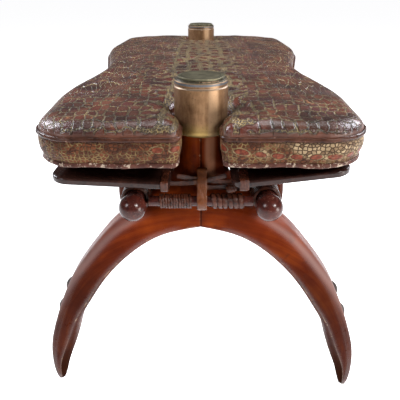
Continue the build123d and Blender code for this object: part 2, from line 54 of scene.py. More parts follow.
Value = Union["Signal", float, Sequence[float]]
Colour = Tuple[float, float, float]
Span = Tuple[float, float]
Place = Tuple[float, float, float]
Face = Tuple[int, ...]
Strip = Tuple[np.ndarray, List[Face], np.ndarray]


# Node materials


class Signal:
    """A node's output, which plain arithmetic builds further nodes on."""

    def __init__(self, recipe: "Recipe", socket: bpy.types.NodeSocket) -> None:
        """Keep the output and the recipe that it belongs to."""
        self.recipe, self.socket = recipe, socket

    def __add__(self, other: Value) -> "Signal":
        """The sum."""
        return self.recipe.calc("ADD", self, other)

    def __radd__(self, other: Value) -> "Signal":
        """The sum with a plain number first."""
        return self.recipe.calc("ADD", other, self)

    def __sub__(self, other: Value) -> "Signal":
        """The difference."""
        return self.recipe.calc("SUBTRACT", self, other)

    def __rsub__(self, other: Value) -> "Signal":
        """The difference with a plain number first."""
        return self.recipe.calc("SUBTRACT", other, self)

    def __mul__(self, other: Value) -> "Signal":
        """The product."""
        return self.recipe.calc("MULTIPLY", self, other)

    def __truediv__(self, other: Value) -> "Signal":
        """The quotient."""
        return self.recipe.calc("DIVIDE", self, other)

    def __abs__(self) -> "Signal":
        """The size without its sign."""
        return self.recipe.calc("ABSOLUTE", self)


class Recipe:
    """One node material, built up from small wired steps."""

    def __init__(self, name: str) -> None:
        """Start an empty material with a principled shader.

        Args:
            name: the material's name.
        """
        self.material = bpy.data.materials.new(name)
        self.material.use_nodes = True
        self.tree = self.material.node_tree
        self.tree.nodes.clear()
        output = self.tree.nodes.new("ShaderNodeOutputMaterial")
        self.shader = self.tree.nodes.new("ShaderNodeBsdfPrincipled")
        self.tree.links.new(self.shader.outputs[0], output.inputs[0])

    def feed(self, socket: bpy.types.NodeSocket, value: Value) -> None:
        """Wire a socket, or set its own value.

        Args:
            socket: the input to feed.
            value: another node's output, a number or a row of numbers.
        """
        if isinstance(value, Signal):
            self.tree.links.new(value.socket, socket)
        elif isinstance(value, (int, float)):
            rows = {"RGBA": (value, value, value, 1.0), "VECTOR": (value, value, value)}
            socket.default_value = rows.get(socket.type, value)
        else:
            socket.default_value = (*value, 1.0) if socket.type == "RGBA" else tuple(value)

    def step(
        self, kind: str, inputs: Dict[Union[int, str], Value], output: Union[int, str] = 0, **settings: object
    ) -> Signal:
        """Add a node.

        Args:
            kind: the node's type.
            inputs: values by input name or index.
            output: name or index of the output wanted.
            settings: attributes to set on the node first.

        Returns:
            The output.
        """
        node = self.tree.nodes.new(kind)
        for key, value in settings.items():
            setattr(node, key, value)
        for key, value in inputs.items():
            self.feed(node.inputs[key], value)
        return Signal(self, node.outputs[output])

    def calc(self, operation: str, a: Value, b: Value = 0.0, clamp: bool = False) -> Signal:
        """One step of arithmetic on numbers, kept between 0 and 1 if clamped."""
        return self.step("ShaderNodeMath", {0: a, 1: b}, operation=operation, use_clamp=clamp)

    def dot(self, a: Value, b: Value) -> Signal:
        """How far two vectors point the same way."""
        return self.step("ShaderNodeVectorMath", {0: a, 1: b}, 1, operation="DOT_PRODUCT")

    def in_mm(self, place: Signal) -> Signal:
        """A place in metres turned into millimetres."""
        return self.step("ShaderNodeVectorMath", {0: place, 3: 1.0 / MM}, operation="SCALE")

    def coords(self) -> Signal:
        """Places on the object in millimetres."""
        return self.in_mm(self.step("ShaderNodeTexCoord", {}, "Object"))

    def unrolled(self, name: str) -> Signal:
        """Places in one of the mesh's flat layouts in millimetres."""
        return self.in_mm(self.step("ShaderNodeUVMap", {}, uv_map=name))

    def split(self, vector: Value) -> Tuple[Signal, ...]:
        """The three numbers of a vector."""
        first = self.step("ShaderNodeSeparateXYZ", {0: vector})
        return tuple(Signal(self, socket) for socket in first.socket.node.outputs)

    def join(self, x: Value, y: Value, z: Value = 0.0) -> Signal:
        """A vector from three numbers."""
        return self.step("ShaderNodeCombineXYZ", {0: x, 1: y, 2: z})

    def noise(
        self, place: Value, size: float, detail: float = 4.0, rough: float = 0.55, bend: float = 0.0
    ) -> Signal:
        """Cloudy noise between 0 and 1.

        Args:
            place: where to read it.
            size: width of a cloud in the place's units.
            detail: octaves.
            rough: strength of the fine octaves.
            bend: distortion.

        Returns:
            The noise.
        """
        inputs = {"Scale": 1.0 / size, "Detail": detail, "Roughness": rough, "Distortion": bend}
        return self.step("ShaderNodeTexNoise", {"Vector": place, **inputs})

    def cells(self, place: Value, loose: float, feature: str = "F1", output: str = "Color") -> Signal:
        """Irregular cells one unit across, looser from their rows as the second number rises."""
        inputs = {"Vector": place, "Scale": 1.0, "Randomness": loose}
        return self.step("ShaderNodeTexVoronoi", inputs, output, feature=feature, voronoi_dimensions="2D")

    def cell_edge(self, place: Value, loose: float) -> Signal:
        """Distance from the edge of such cells."""
        return self.cells(place, loose, "DISTANCE_TO_EDGE", "Distance")

    def ease(self, value: Value, low: float, high: float) -> Signal:
        """A smooth rise from 0 at low to 1 at high."""
        inputs = {0: value, 1: low, 2: high, 3: 0.0, 4: 1.0}
        return self.step("ShaderNodeMapRange", inputs, interpolation_type="SMOOTHSTEP")

    def stripe(self, value: Value, rise: Span, fall: Span) -> Signal:
        """A smooth rise from 0 to 1 and a smooth fall back."""
        return self.ease(value, *rise) * (1.0 - self.ease(value, *fall))

    def patches(
        self, place: Value, size: float, detail: float, rough: float, low: float, high: float
    ) -> Signal:
        """Clouds of noise with soft edges: 0 where it is under low and 1 where it is over high."""
        return self.ease(self.noise(place, size, detail, rough), low, high)

    def blend(self, factor: Value, a: Value, b: Value, kind: str = "MIX") -> Signal:
        """Mix two colours by the share of the second."""
        return self.step("ShaderNodeMix", {0: factor, 6: a, 7: b}, 2, data_type="RGBA", blend_type=kind)

    def between(self, factor: Value, a: Value, b: Value) -> Signal:
        """Mix two numbers by the share of the second."""
        return self.step("ShaderNodeMix", {0: factor, 2: a, 3: b}, data_type="FLOAT")

    def ramp(self, factor: Value, stops: Sequence[Tuple[float, Colour]]) -> Signal:
        """A colour read from a row of stops.

        Args:
            factor: place on the ramp.
            stops: places and colours.

        Returns:
            The colour.
        """
        colour = self.step("ShaderNodeValToRGB", {0: factor})
        elements = colour.socket.node.color_ramp.elements
        while len(elements) < len(stops):
            elements.new(0.5)
        for element, (place, shade) in zip(elements, stops):
            element.position = place
            element.color = (*shade, 1.0)
        return colour

    def relief(self, height: Value, depth_mm: float, under: Optional[Signal] = None) -> Signal:
        """A bumped normal.

        Args:
            height: surface height between 0 and 1.
            depth_mm: what a height of 1 stands for.
            under: a normal to build on.

        Returns:
            The normal.
        """
        inputs = {"Height": height, "Distance": depth_mm * MM, "Strength": 1.0}
        return self.step("ShaderNodeBump", inputs if under is None else {**inputs, "Normal": under})

    def facing(self) -> Signal:
        """The way the surface faces."""
        return self.step("ShaderNodeNewGeometry", {}, "Normal")

    def rounded(self, reach_mm: float, samples: int) -> Signal:
        """The way it would face with its edges rounded."""
        return self.step("ShaderNodeBevel", {"Radius": reach_mm * MM}, samples=samples)

    def worn_edges(self, reach_mm: float, low: float, high: float) -> Signal:
        """1 on edges that turn by more than high, 0 on faces that turn by less than low."""
        return self.ease(1.0 - self.dot(self.rounded(reach_mm, 6), self.facing()), low, high)

    def finish(self, **inputs: Value) -> bpy.types.Material:
        """Set the shader's inputs.

        Args:
            inputs: values by input name, with underscores for spaces.

        Returns:
            The material.
        """
        for key, value in inputs.items():
            self.feed(self.shader.inputs[key.replace("_", " ")], value)
        return self.material


@dataclass(frozen=True)
class YokeWood:
    """Polished wood that follows the arch, orange at the crown and darker down the legs."""

    dark: Colour = (0.060, 0.007, 0.001)
    middle: Colour = (0.125, 0.016, 0.002)
    light: Colour = (0.23, 0.038, 0.004)
    leg_tint: Colour = (0.30, 0.36, 0.6)
    # Painted highlight: a lighter band down the right of the neck.
    gloss_and_highlight: Colour = (0.42, 0.20, 0.11)
    neck_shade: Colour = (0.07, 0.012, 0.006)
    patina: Colour = (0.045, 0.040, 0.028)
    stain: Colour = (0.03, 0.008, 0.005)
    # Painted highlight: pale where the legs' rounded ridges face upwards.
    rubbed_and_highlight: Colour = (0.33, 0.22, 0.20)
    foot_shade: Colour = (0.022, 0.008, 0.004)
    worn: Colour = (0.50, 0.33, 0.20)
    seam: Colour = (0.02, 0.004, 0.001)
    arch_centre: float = 55.0
    arch_sweep: float = 170.0
    stretch: float = 0.06
    post_foot: Span = (278.0, 300.0)
    leg_dark: Span = (150.0, 268.0)
    neck_highlight_sides: Tuple[Span, Span] = ((2.0, 7.0), (12.0, 17.0))
    neck_highlight_foot: Span = (300.0, 325.0)
    head: Span = (405.0, 408.0)
    foot_top: Span = (20.0, 120.0)
    ridge_reach: float = 18.0
    seam_width: Span = (0.4, 1.3)

    def colour(self, r: Recipe, place: Signal, grain_place: Signal) -> Signal:
        """The grain's colour, with a painted highlight and painted shade on the neck, and its stains.

        Args:
            r: the recipe.
            place: places on the yoke.
            grain_place: places along the grain.

        Returns:
            The colour.
        """
        x, _, z = r.split(place)
        tone = r.noise(grain_place, 5.0, 6.0, 0.6, 0.6) * 0.5 + r.noise(place, 46.0, 3.0) * 0.6
        stops = [(0.22, self.dark), (0.48, self.middle), (0.74, self.light)]
        colour = r.ramp(tone - 0.05, stops)
        down = 1.0 - r.ease(z, *self.leg_dark)
        colour = r.blend(down * 0.85, colour, r.blend(1.0, colour, self.leg_tint, "MULTIPLY"))
        # Painted highlight: a lighter band down the right of the neck, above the flare.
        gloss_and_highlight = r.stripe(x, *self.neck_highlight_sides) * r.ease(z, *self.neck_highlight_foot)
        colour = r.blend(gloss_and_highlight * 0.6, colour, self.gloss_and_highlight)
        neck_shade = r.ease(x, 13.0, 23.0) * r.ease(z, 296.0, 320.0)
        colour = r.blend(neck_shade * 0.4, colour, self.neck_shade)
        colour = r.blend(r.ease(z, *self.head), colour, self.patina)
        pores = r.patches(grain_place, 0.7, 2.0, 0.7, 0.62, 0.75)
        colour = r.blend(pores * 0.5, colour, self.dark)
        stain = r.patches(place, 19.0, 5.0, 0.65, 0.58, 0.7)
        return r.blend(stain * 0.45, colour, self.stain)

    def material(self) -> bpy.types.Material:
        """Build the material.

        Returns:
            The material.
        """
        r = Recipe("yoke_wood")
        place = r.coords()
        x, y, z = r.split(place)
        lift = z - self.arch_centre
        radius = r.calc("SQRT", x * x + lift * lift)
        sweep = r.calc("ARCTAN2", x, lift) * self.arch_sweep
        is_post = r.ease(z, *self.post_foot)
        on_leg, on_post = r.join(radius, y, sweep * self.stretch), r.join(x, y, z * self.stretch)
        grain_place = r.blend(is_post, on_leg, on_post)
        colour = self.colour(r, place, grain_place)
        facing, rounded = r.facing(), r.rounded(self.ridge_reach, 8)
        # Painted highlight: a pale band where the rounded legs face upwards, on the upper legs only.
        upward = r.split(rounded)[2]
        ridge_highlight = r.ease(upward, 0.04, 0.28) * r.between(r.ease(upward, 0.34, 0.6), 1.0, 0.3)
        ridge_highlight = r.calc("MULTIPLY", ridge_highlight * r.ease(z, 90.0, 200.0), 0.9 - is_post, True)
        ridge_highlight = ridge_highlight * r.ease(abs(x), 50.0, 85.0)
        colour = r.blend(ridge_highlight * 0.6, colour, self.rubbed_and_highlight)
        low = 1.0 - r.ease(z, *self.foot_top)
        inward = r.dot(facing, r.join(x * -0.0062, 0.0))
        shade = r.ease(inward, 0.35, 0.7) * low
        colour = r.blend(shade * 0.8, colour, self.foot_shade)
        scuff = r.patches(place, 9.0, 6.0, 0.7, 0.52, 0.62)
        edge = r.worn_edges(3.0, 0.006, 0.09)
        wear = r.calc("MULTIPLY", edge, r.between(scuff, r.between(low, 0.04, 0.3), 0.9), True)
        seam = 1.0 - r.ease(abs(x), *self.seam_width)
        colour = r.blend(wear * (1.0 - r.calc("MAXIMUM", seam, shade)), colour, self.worn)
        colour = r.blend(seam * 0.75, colour, self.seam)
        rough = r.between(r.noise(place, 12.0, 5.0), 0.2, 0.4)
        height = r.between(0.35, r.noise(place, 17.0, 3.0), r.noise(grain_place, 1.1, 4.0, 0.6))
        ridge = r.ease(1.0 - r.dot(rounded, facing), 0.01, 0.16) * r.ease(abs(x), 20.0, 34.0)
        return r.finish(
            Base_Color=colour,
            Roughness=r.between(shade, rough, 0.8),
            Specular_IOR_Level=r.between(shade, r.between(ridge, 0.03, 0.75), 0.01),
            Normal=r.relief(height, 0.28, r.relief(r.noise(place, 30.0, 2.0), 1.1, rounded)),
        )


@dataclass(frozen=True)
class DarkWood:
    """Dark glossy turned or sawn wood."""

    name: str
    dark: Colour
    light: Colour
    scratched: float
    stretch: float = 0.06
    worn: Colour = (0.46, 0.28, 0.20)

    def material(self) -> bpy.types.Material:
        """Build the material.

        Returns:
            The material.
        """
        r = Recipe(self.name)
        place = r.coords()
        x, y, z = r.split(place)
        grain_place = r.join(x, y * self.stretch, z)
        cloud = r.noise(place, 22.0, 4.0)
        tone = r.noise(grain_place, 4.0, 6.0, 0.6, 0.4) * 0.6 + cloud * 0.5
        colour = r.ramp(tone, [(0.35, self.dark), (0.75, self.light)])
        scratch = r.ease(r.noise(r.join(x * 0.25, y, z), 2.2, 3.0, 0.8, 1.6), 0.63, 0.68)
        edge = r.worn_edges(1.6, 0.02, 0.2)
        scuff = r.patches(place, 11.0, 6.0, 0.7, 0.45, 0.6)
        wear = r.calc("MAXIMUM", scratch * self.scratched, edge * scuff)
        height = r.between(0.5, r.noise(grain_place, 1.4, 4.0), cloud)
        return r.finish(
            Base_Color=r.blend(wear * 0.45, colour, self.worn),
            Roughness=r.between(cloud, 0.12, 0.3),
            Specular_IOR_Level=0.3,
            Normal=r.relief(height, 0.22),
        )


@dataclass(frozen=True)
class AgedBrass:
    """Brown brass with a painted glint on its lower edge, a painted reflection down its front, and a pale
    rim.
    """

    name: str
    plate: bool = False
    tarnish: Colour = (0.06, 0.035, 0.02)
    metal_stops: Tuple[Tuple[float, Colour], ...] = (
        (0.3, (0.13, 0.062, 0.026)), (0.52, (0.26, 0.145, 0.072)), (0.75, (0.40, 0.25, 0.13)),
    )
    plate_stops: Tuple[Tuple[float, Colour], ...] = ((0.3, (0.07, 0.062, 0.035)), (0.7, (0.19, 0.175, 0.11)))
    plate_groove: Colour = (0.03, 0.025, 0.018)
    # Painted glint: bright yellow brass along the cap's lower edge.
    lower_edge_glint: Colour = (0.36, 0.25, 0.075)
    # Painted reflection: a light vertical streak right of the cap's middle.
    painted_reflection: Colour = (0.68, 0.47, 0.29)
    rim: Colour = (0.11, 0.10, 0.065)
    band: Colour = (0.12, 0.14, 0.16)
    groove: Colour = (0.34, 0.30, 0.24)
    post: float = 279.5
    plate_groove_sides: Tuple[Span, Span] = ((18.6, 19.2), (20.0, 20.6))
    lower_edge_glint_top: Span = (364.0, 380.0)
    painted_reflection_sides: Tuple[Span, Span] = ((5.0, 10.0), (15.0, 19.0))
    groove_sides: Tuple[Span, Span] = ((408.6, 409.4), (410.2, 411.2))
    band_sides: Tuple[Span, Span] = ((412.3, 413.0), (414.4, 415.2))
    rim_foot: Span = (415.0, 415.8)

    def material(self) -> bpy.types.Material:
        """Build the material.

        Returns:
            The material.
        """
        r = Recipe(self.name)
        place = r.coords()
        x, y, z = r.split(place)
        smear = r.join(x, y, z * 0.25)
        cloud = r.noise(place, 9.0, 6.0, 0.6)
        if self.plate:
            colour = r.ramp(cloud, self.plate_stops)
            reach = r.calc("SQRT", x * x + r.calc("POWER", abs(y) - self.post, 2.0))
            groove = r.stripe(reach, *self.plate_groove_sides)
            colour = r.blend(groove * 0.7, colour, self.plate_groove)
        else:
            colour = r.ramp(cloud * 0.5 + r.noise(smear, 3.0, 5.0, 0.65) * 0.5, self.metal_stops)
            # Painted glint: bright yellow brass along the cap's lower edge.
            bottom = 1.0 - r.ease(z, *self.lower_edge_glint_top)
            colour = r.blend(bottom * 0.75, colour, self.lower_edge_glint)
            # Painted reflection: a light vertical streak right of the middle.
            colour = r.blend(r.stripe(x, *self.painted_reflection_sides) * 0.4, colour, self.painted_reflection)
            colour = r.blend(r.ease(z, *self.rim_foot), colour, self.rim)
            colour = r.blend(r.stripe(z, *self.band_sides) * 0.9, colour, self.band)
            colour = r.blend(r.stripe(z, *self.groove_sides) * 0.5, colour, self.groove)
        spots = r.patches(place, 2.2, 5.0, 0.7, 0.56, 0.7)
        return r.finish(
            Base_Color=r.blend(spots * 0.5, colour, self.tarnish),
            Metallic=0.85,
            Roughness=r.between(r.noise(smear, 6.0, 5.0), 0.34, 0.62),
            Normal=r.relief(r.between(0.4, cloud, r.noise(place, 1.2, 3.0)), 0.25),
        )


@dataclass(frozen=True)
class BlackIron:
    """Blackened iron of the studs and nails."""

    stops: Tuple[Tuple[float, Colour], ...] = ((0.3, (0.012, 0.008, 0.007)), (0.7, (0.07, 0.045, 0.035)))

    def material(self) -> bpy.types.Material:
        """Build the material.

        Returns:
            The material.
        """
        r = Recipe("black_iron")
        cloud = r.noise(r.coords(), 4.0, 5.0, 0.7)
        colour, rough = r.ramp(cloud, self.stops), r.between(cloud, 0.3, 0.6)
        return r.finish(Base_Color=colour, Metallic=0.8, Roughness=rough, Normal=r.relief(cloud, 0.3))


@dataclass(frozen=True)
class ThongLeather:
    """Dark waxed thong with fine lengthwise lines and rubbed high places, warmer on the centre strap."""

    dark: Colour = (0.014, 0.004, 0.003)
    light: Colour = (0.105, 0.030, 0.014)
    rubbed_and_highlight: Colour = (0.30, 0.15, 0.11)
    strap_dark: Colour = (0.05, 0.012, 0.003)
    strap_light: Colour = (0.22, 0.065, 0.016)
    strap_side: Span = (6.0, 9.0)

    def material(self) -> bpy.types.Material:
        """Build the material.

        Returns:
            The material.
        """
        r = Recipe("thong_leather")
        place = r.coords()
        run, across, _ = r.split(r.unrolled("lay"))
        lines = r.noise(r.join(run * 0.12, across), 0.9, 3.0, 0.6)
        cloud = r.noise(place, 6.0, 5.0, 0.6)
        colour = r.ramp(cloud * 0.65 + lines * 0.4, [(0.36, self.dark), (0.68, self.light)])
        colour = r.blend(r.patches(place, 3.4, 6.0, 0.75, 0.58, 0.7) * 0.25, colour, self.rubbed_and_highlight)
        middle = 1.0 - r.ease(abs(r.split(place)[0]), *self.strap_side)
        colour = r.blend(middle * 0.8, colour, r.blend(cloud, self.strap_dark, self.strap_light))
        height = lines * 0.7 + r.noise(place, 0.8, 4.0, 0.7) * 0.3
        return r.finish(
            Base_Color=colour,
            Roughness=r.between(cloud, 0.1, 0.34),
            Specular_IOR_Level=0.3,
            Normal=r.relief(height, 0.7, r.relief(r.noise(place, 7.0, 2.0), 1.0)),
        )


@dataclass(frozen=True)
class SeatLeather:
    """Scale-embossed leather of the seat: large plates on the spine, square ones on the lobes and
    long lines on the flanks, with green-gold grooves."""

    groove: Colour = (0.37, 0.28, 0.12)
    hollow: Colour = (0.016, 0.008, 0.005)
    plate_dark: Colour = (0.048, 0.018, 0.012)
    plate: Colour = (0.15, 0.055, 0.034)
    plate_red: Colour = (0.105, 0.021, 0.012)
    plate_purple: Colour = (0.085, 0.030, 0.034)
    plate_warm: Colour = (0.20, 0.068, 0.028)
    scale_dark: Colour = (0.060, 0.030, 0.014)
    scale: Colour = (0.20, 0.135, 0.058)
    tan: Colour = (0.48, 0.24, 0.12)
    mottle: Colour = (0.30, 0.17, 0.10)
    cloudy: Tuple[Colour, Colour] = ((0.40, 0.38, 0.34), (0.92, 0.86, 0.78))
    drift: float = 22.0
    drift_size: float = 60.0
    plate_size: Span = (16.5, 15.0)
    plate_narrowing: float = 300.0
    horn_size: Span = (17.0, 25.0)
    line_size: Span = (5.0, 38.0)
    scale_size: Span = (3.6, 3.6)
    plate_loose: float = 0.5
    horn_loose: float = 0.6
    scale_loose: float = 0.9
    spine_side: Span = (30.0, 66.0)
    flank_side: Span = (74.0, 104.0)
    flank_end: Span = (215.0, 255.0)
    margin_top: Span = (377.5, 381.5)

    def warped(self, r: Recipe, place: Signal) -> Tuple[Signal, Signal]:
        """Places across and along, pulled about so that no row of scales runs straight.

        Args:
            r: the recipe.
            place: places on the leather laid flat.

        Returns:
            The two numbers.
        """
        x, y, _ = r.split(place)
        moved = r.step("ShaderNodeVectorMath", {0: place, 1: (310.0, 95.0, 0.0)}, operation="ADD")
        across = x + (r.noise(place, self.drift_size, 2.0) - 0.5) * self.drift
        return across, y + (r.noise(moved, self.drift_size, 2.0) - 0.5) * self.drift

    def material(self) -> bpy.types.Material:
        """Build the material.

        Returns:
            The material.
        """
        r = Recipe("scale_leather_top")
        place = r.unrolled("plan")
        across, along = self.warped(r, place)
        side, end = abs(across), abs(along)
        narrowed = across * (1.0 + side / self.plate_narrowing)
        plates = r.join(narrowed / self.plate_size[0], along / self.plate_size[1])
        horns = r.join(across / self.horn_size[0], along / self.horn_size[1])
        lines = r.join(across / self.line_size[0], along / self.line_size[1])
        scales = r.join(across / self.scale_size[0], along / self.scale_size[1])
        flank = r.ease(side, *self.flank_side) * (1.0 - r.ease(end, *self.flank_end))
        margin = 1.0 - r.ease(r.split(r.coords())[2], *self.margin_top)
        spine = 1.0 - r.ease(side, *self.spine_side)
        net = r.patches(place, 34.0, 3.0, 0.55, 0.36, 0.62)
        net_width = r.between(spine, r.between(net, 0.01, 0.09), 0.18)
        plate_edge, horn_edge = r.cell_edge(plates, self.plate_loose), r.cell_edge(horns, self.horn_loose)
        plate_rise = r.ease(r.between(spine, plate_edge, horn_edge) - net_width, 0.0, 0.07)
        scale_rise = r.ease(r.cell_edge(scales, self.scale_loose), 0.05, 0.24)
        line_rise = r.ease(r.cell_edge(lines, self.scale_loose), 0.01, 0.1)
        rise = r.calc("MAXIMUM", plate_rise, scale_rise * 0.45)
        rise = r.between(margin, r.between(flank, rise, line_rise * 0.7), 0.8)
        tint, tone, _ = r.split(r.cells(plates, self.plate_loose))
        horn_tint, horn_tone, _ = r.split(r.cells(horns, self.horn_loose))
        scale_tint, scale_tone, _ = r.split(r.cells(scales, self.scale_loose))
        body = r.blend(r.between(spine, tone, horn_tone), self.plate_dark, self.plate)
        red = r.between(spine, r.ease(tint, 0.62, 0.85) * 0.6, r.ease(horn_tint, 0.3, 0.7))
        body = r.blend(red, body, self.plate_red)
        purple = r.patches(place, 55.0, 2.0, 0.55, 0.5, 0.62) * (1.0 - spine)
        body = r.blend(purple * 0.6, body, self.plate_purple)
        body = r.blend(r.patches(place, 70.0, 3.0, 0.55, 0.46, 0.62) * 0.3, body, self.plate_warm)
        tiny = r.blend(scale_tone, self.scale_dark, self.scale)
        tiny = r.blend(r.ease(scale_tint, 0.8, 0.9), tiny, self.plate_red)
        body = r.blend(r.between(flank, plate_rise, 1.0), tiny, body)
        body = r.blend(margin, body, self.plate)
        groove = (1.0 - r.ease(rise, 0.05, 0.4)) * r.patches(place, 9.0, 4.0, 0.6, 0.32, 0.52)
        colour = r.blend(groove, body, self.groove)
        hollow = (1.0 - r.ease(rise, 0.25, 0.9)) * (1.0 - groove)
        colour = r.blend(hollow * 0.62, colour, self.hollow)
        wear = r.patches(place, 26.0, 6.0, 0.7, 0.61, 0.67)
        colour = r.blend(wear * (rise * 0.75), colour, self.tan)
        mottle = r.noise(place, 4.0, 5.0, 0.65)
        colour = r.blend(r.ease(mottle, 0.55, 0.75) * 0.2, colour, self.mottle)
        cloudy = r.blend(r.patches(place, 44.0, 4.0, 0.6, 0.36, 0.6), *self.cloudy)
        creased = r.relief(r.noise(r.join(across * 0.4, along), 16.0, 3.0, 0.5), 1.6)
        return r.finish(
            Base_Color=r.blend(1.0, colour, cloudy, "MULTIPLY"),
            Roughness=r.between(rise, 0.5, r.between(mottle, 0.16, 0.36)),
            Specular_IOR_Level=0.5,
            Normal=r.relief(rise + r.noise(place, 1.6, 4.0, 0.65) * 0.12, 3.0, creased),
        )


@dataclass(frozen=True)
class BandLeather:
    """The side band: a row of long ovals between small pale scales, browner on the left."""

    brown: Tuple[Colour, Colour] = ((0.045, 0.014, 0.007), (0.145, 0.048, 0.020))
    pale: Tuple[Colour, Colour] = ((0.13, 0.075, 0.038), (0.42, 0.31, 0.18))
    gold: Tuple[Colour, Colour] = ((0.045, 0.018, 0.009), (0.26, 0.18, 0.075))
    line: Colour = (0.045, 0.022, 0.012)
    ring: Colour = (0.36, 0.28, 0.15)
    oval: Tuple[Colour, Colour] = ((0.085, 0.014, 0.007), (0.23, 0.050, 0.026))
    # Painted shade along the band's top and bottom, next to the piping and the welt.
    edge: Colour = (0.03, 0.012, 0.007)
    oval_pitch: float = 17.5
    oval_half_length: float = 8.2
    oval_half_width: float = 3.3
    oval_middles: Span = (-9.0, -16.5)
    oval_rarity: Span = (0.55, 0.1)
    scale_size: Span = (4.0, 3.3)
    scale_loose: float = 0.85
    right_side: Span = (10.0, 90.0)

    def material(self) -> bpy.types.Material:
        """Build the material.

        Returns:
            The material.
        """
        r = Recipe("scale_leather_band")
        run, rise, _ = r.split(r.unrolled("lay"))
        place = r.join(run, rise)
        right = r.ease(r.split(r.coords())[0], *self.right_side)
        wave = (r.noise(place, 30.0, 2.0) - 0.5) * 7.0
        step = (run + wave) / self.oval_pitch
        chance = r.step(
            "ShaderNodeTexWhiteNoise", {"W": r.calc("FLOOR", step)}, noise_dimensions="1D"
        )
        part = r.calc("FRACT", step) - 0.5
        along = part * (self.oval_pitch / self.oval_half_length) * (1.0 + chance * 0.5)
        middle = r.between(right, *self.oval_middles) + wave * 0.5
        across = (rise - middle) / self.oval_half_width
        reach = r.calc("SQRT", along * along + across * across)
        shown = r.calc("GREATER_THAN", chance, r.between(right, *self.oval_rarity))
        oval = (1.0 - r.ease(reach, 0.75, 1.0)) * shown
        ring = r.stripe(reach, (0.88, 1.0), (1.08, 1.25)) * shown
        scales = r.join(run / self.scale_size[0], rise / self.scale_size[1])
        tone = r.split(r.cells(scales, self.scale_loose))[1]
        scale_rise = r.ease(r.cell_edge(scales, self.scale_loose), 0.03, 0.2)
        upper = r.ease(rise, -22.0, -12.0) * right
        zone = r.ease(r.noise(place, 36.0, 3.0) + (upper * 0.22 + (right - 1.0) * 0.14), 0.56, 0.68)
        body = r.blend(zone, r.blend(tone, *self.brown), r.blend(tone, *self.pale))
        gold = r.blend(r.patches(place, 12.0, 4.0, 0.55, 0.42, 0.62), *self.gold)
        colour = r.blend(1.0 - scale_rise, body, r.blend(zone, gold, self.line))
        ring = ring * r.patches(place, 5.0, 4.0, 0.55, 0.35, 0.6)
        colour = r.blend(ring * 0.6, colour, self.ring)
        red = r.blend(r.patches(place, 3.5, 4.0, 0.55, 0.35, 0.65), *self.oval)
        colour = r.blend(oval * r.between(r.noise(place, 6.0, 4.0), 0.7, 1.0), colour, red)
        # Painted shade: darker along the band's top and bottom, next to the piping and the welt.
        edge = r.calc("MAXIMUM", r.ease(rise, -5.0, -1.5), 1.0 - r.ease(rise, -25.5, -21.5))
        height = r.calc("MAXIMUM", scale_rise * 0.5, oval)
        return r.finish(
            Base_Color=r.blend(edge * 0.6, colour, self.edge),
            Roughness=r.between(height, 0.55, 0.3),
            Specular_IOR_Level=0.14,
            Normal=r.relief(height, 1.3),
        )


@dataclass(frozen=True)
class CordLeather:
    """Dark leather over a cord, rubbed or chipped to a paler layer."""

    name: str
    dark: Colour
    light: Colour
    bare: Colour
    cloud: float
    chips: Tuple[float, float, float]
    bare_share: float
    grain: Tuple[float, float, float]
    rough: float
    gloss_and_highlight: float

    def material(self) -> bpy.types.Material:
        """Build the material.

        Returns:
            The material.
        """
        r = Recipe(self.name)
        place = r.coords()
        colour = r.ramp(r.noise(place, self.cloud, 5.0, 0.6), [(0.3, self.dark), (0.7, self.light)])
        size, low, high = self.chips
        colour = r.blend(r.patches(place, size, 6.0, 0.7, low, high) * self.bare_share, colour, self.bare)
        size, detail, depth = self.grain
        return r.finish(
            Base_Color=colour,
            Roughness=self.rough,
            Specular_IOR_Level=self.gloss_and_highlight,
            Normal=r.relief(r.noise(place, size, detail), depth),
        )


def piping_leather() -> bpy.types.Material:
    """Dark piping with rubbed places.

    Returns:
        The material.
    """
    shades = (0.02, 0.007, 0.004), (0.095, 0.033, 0.018), (0.42, 0.22, 0.15)
    return CordLeather(
        "piping_leather", *shades, 9.0, (7.0, 0.6, 0.68), 0.6, (2.4, 4.0, 0.5), 0.26, 0.16
    ).material()


def welt_leather() -> bpy.types.Material:
    """The bottom welt, chipped to pale leather.

    Returns:
        The material.
    """
    shades = (0.035, 0.012, 0.01), (0.13, 0.05, 0.035), (0.52, 0.42, 0.32)
    return CordLeather(
        "welt_leather", *shades, 8.0, (3.6, 0.54, 0.6), 0.85, (2.8, 5.0, 0.8), 0.5, 0.15
    ).material()


# Cushion


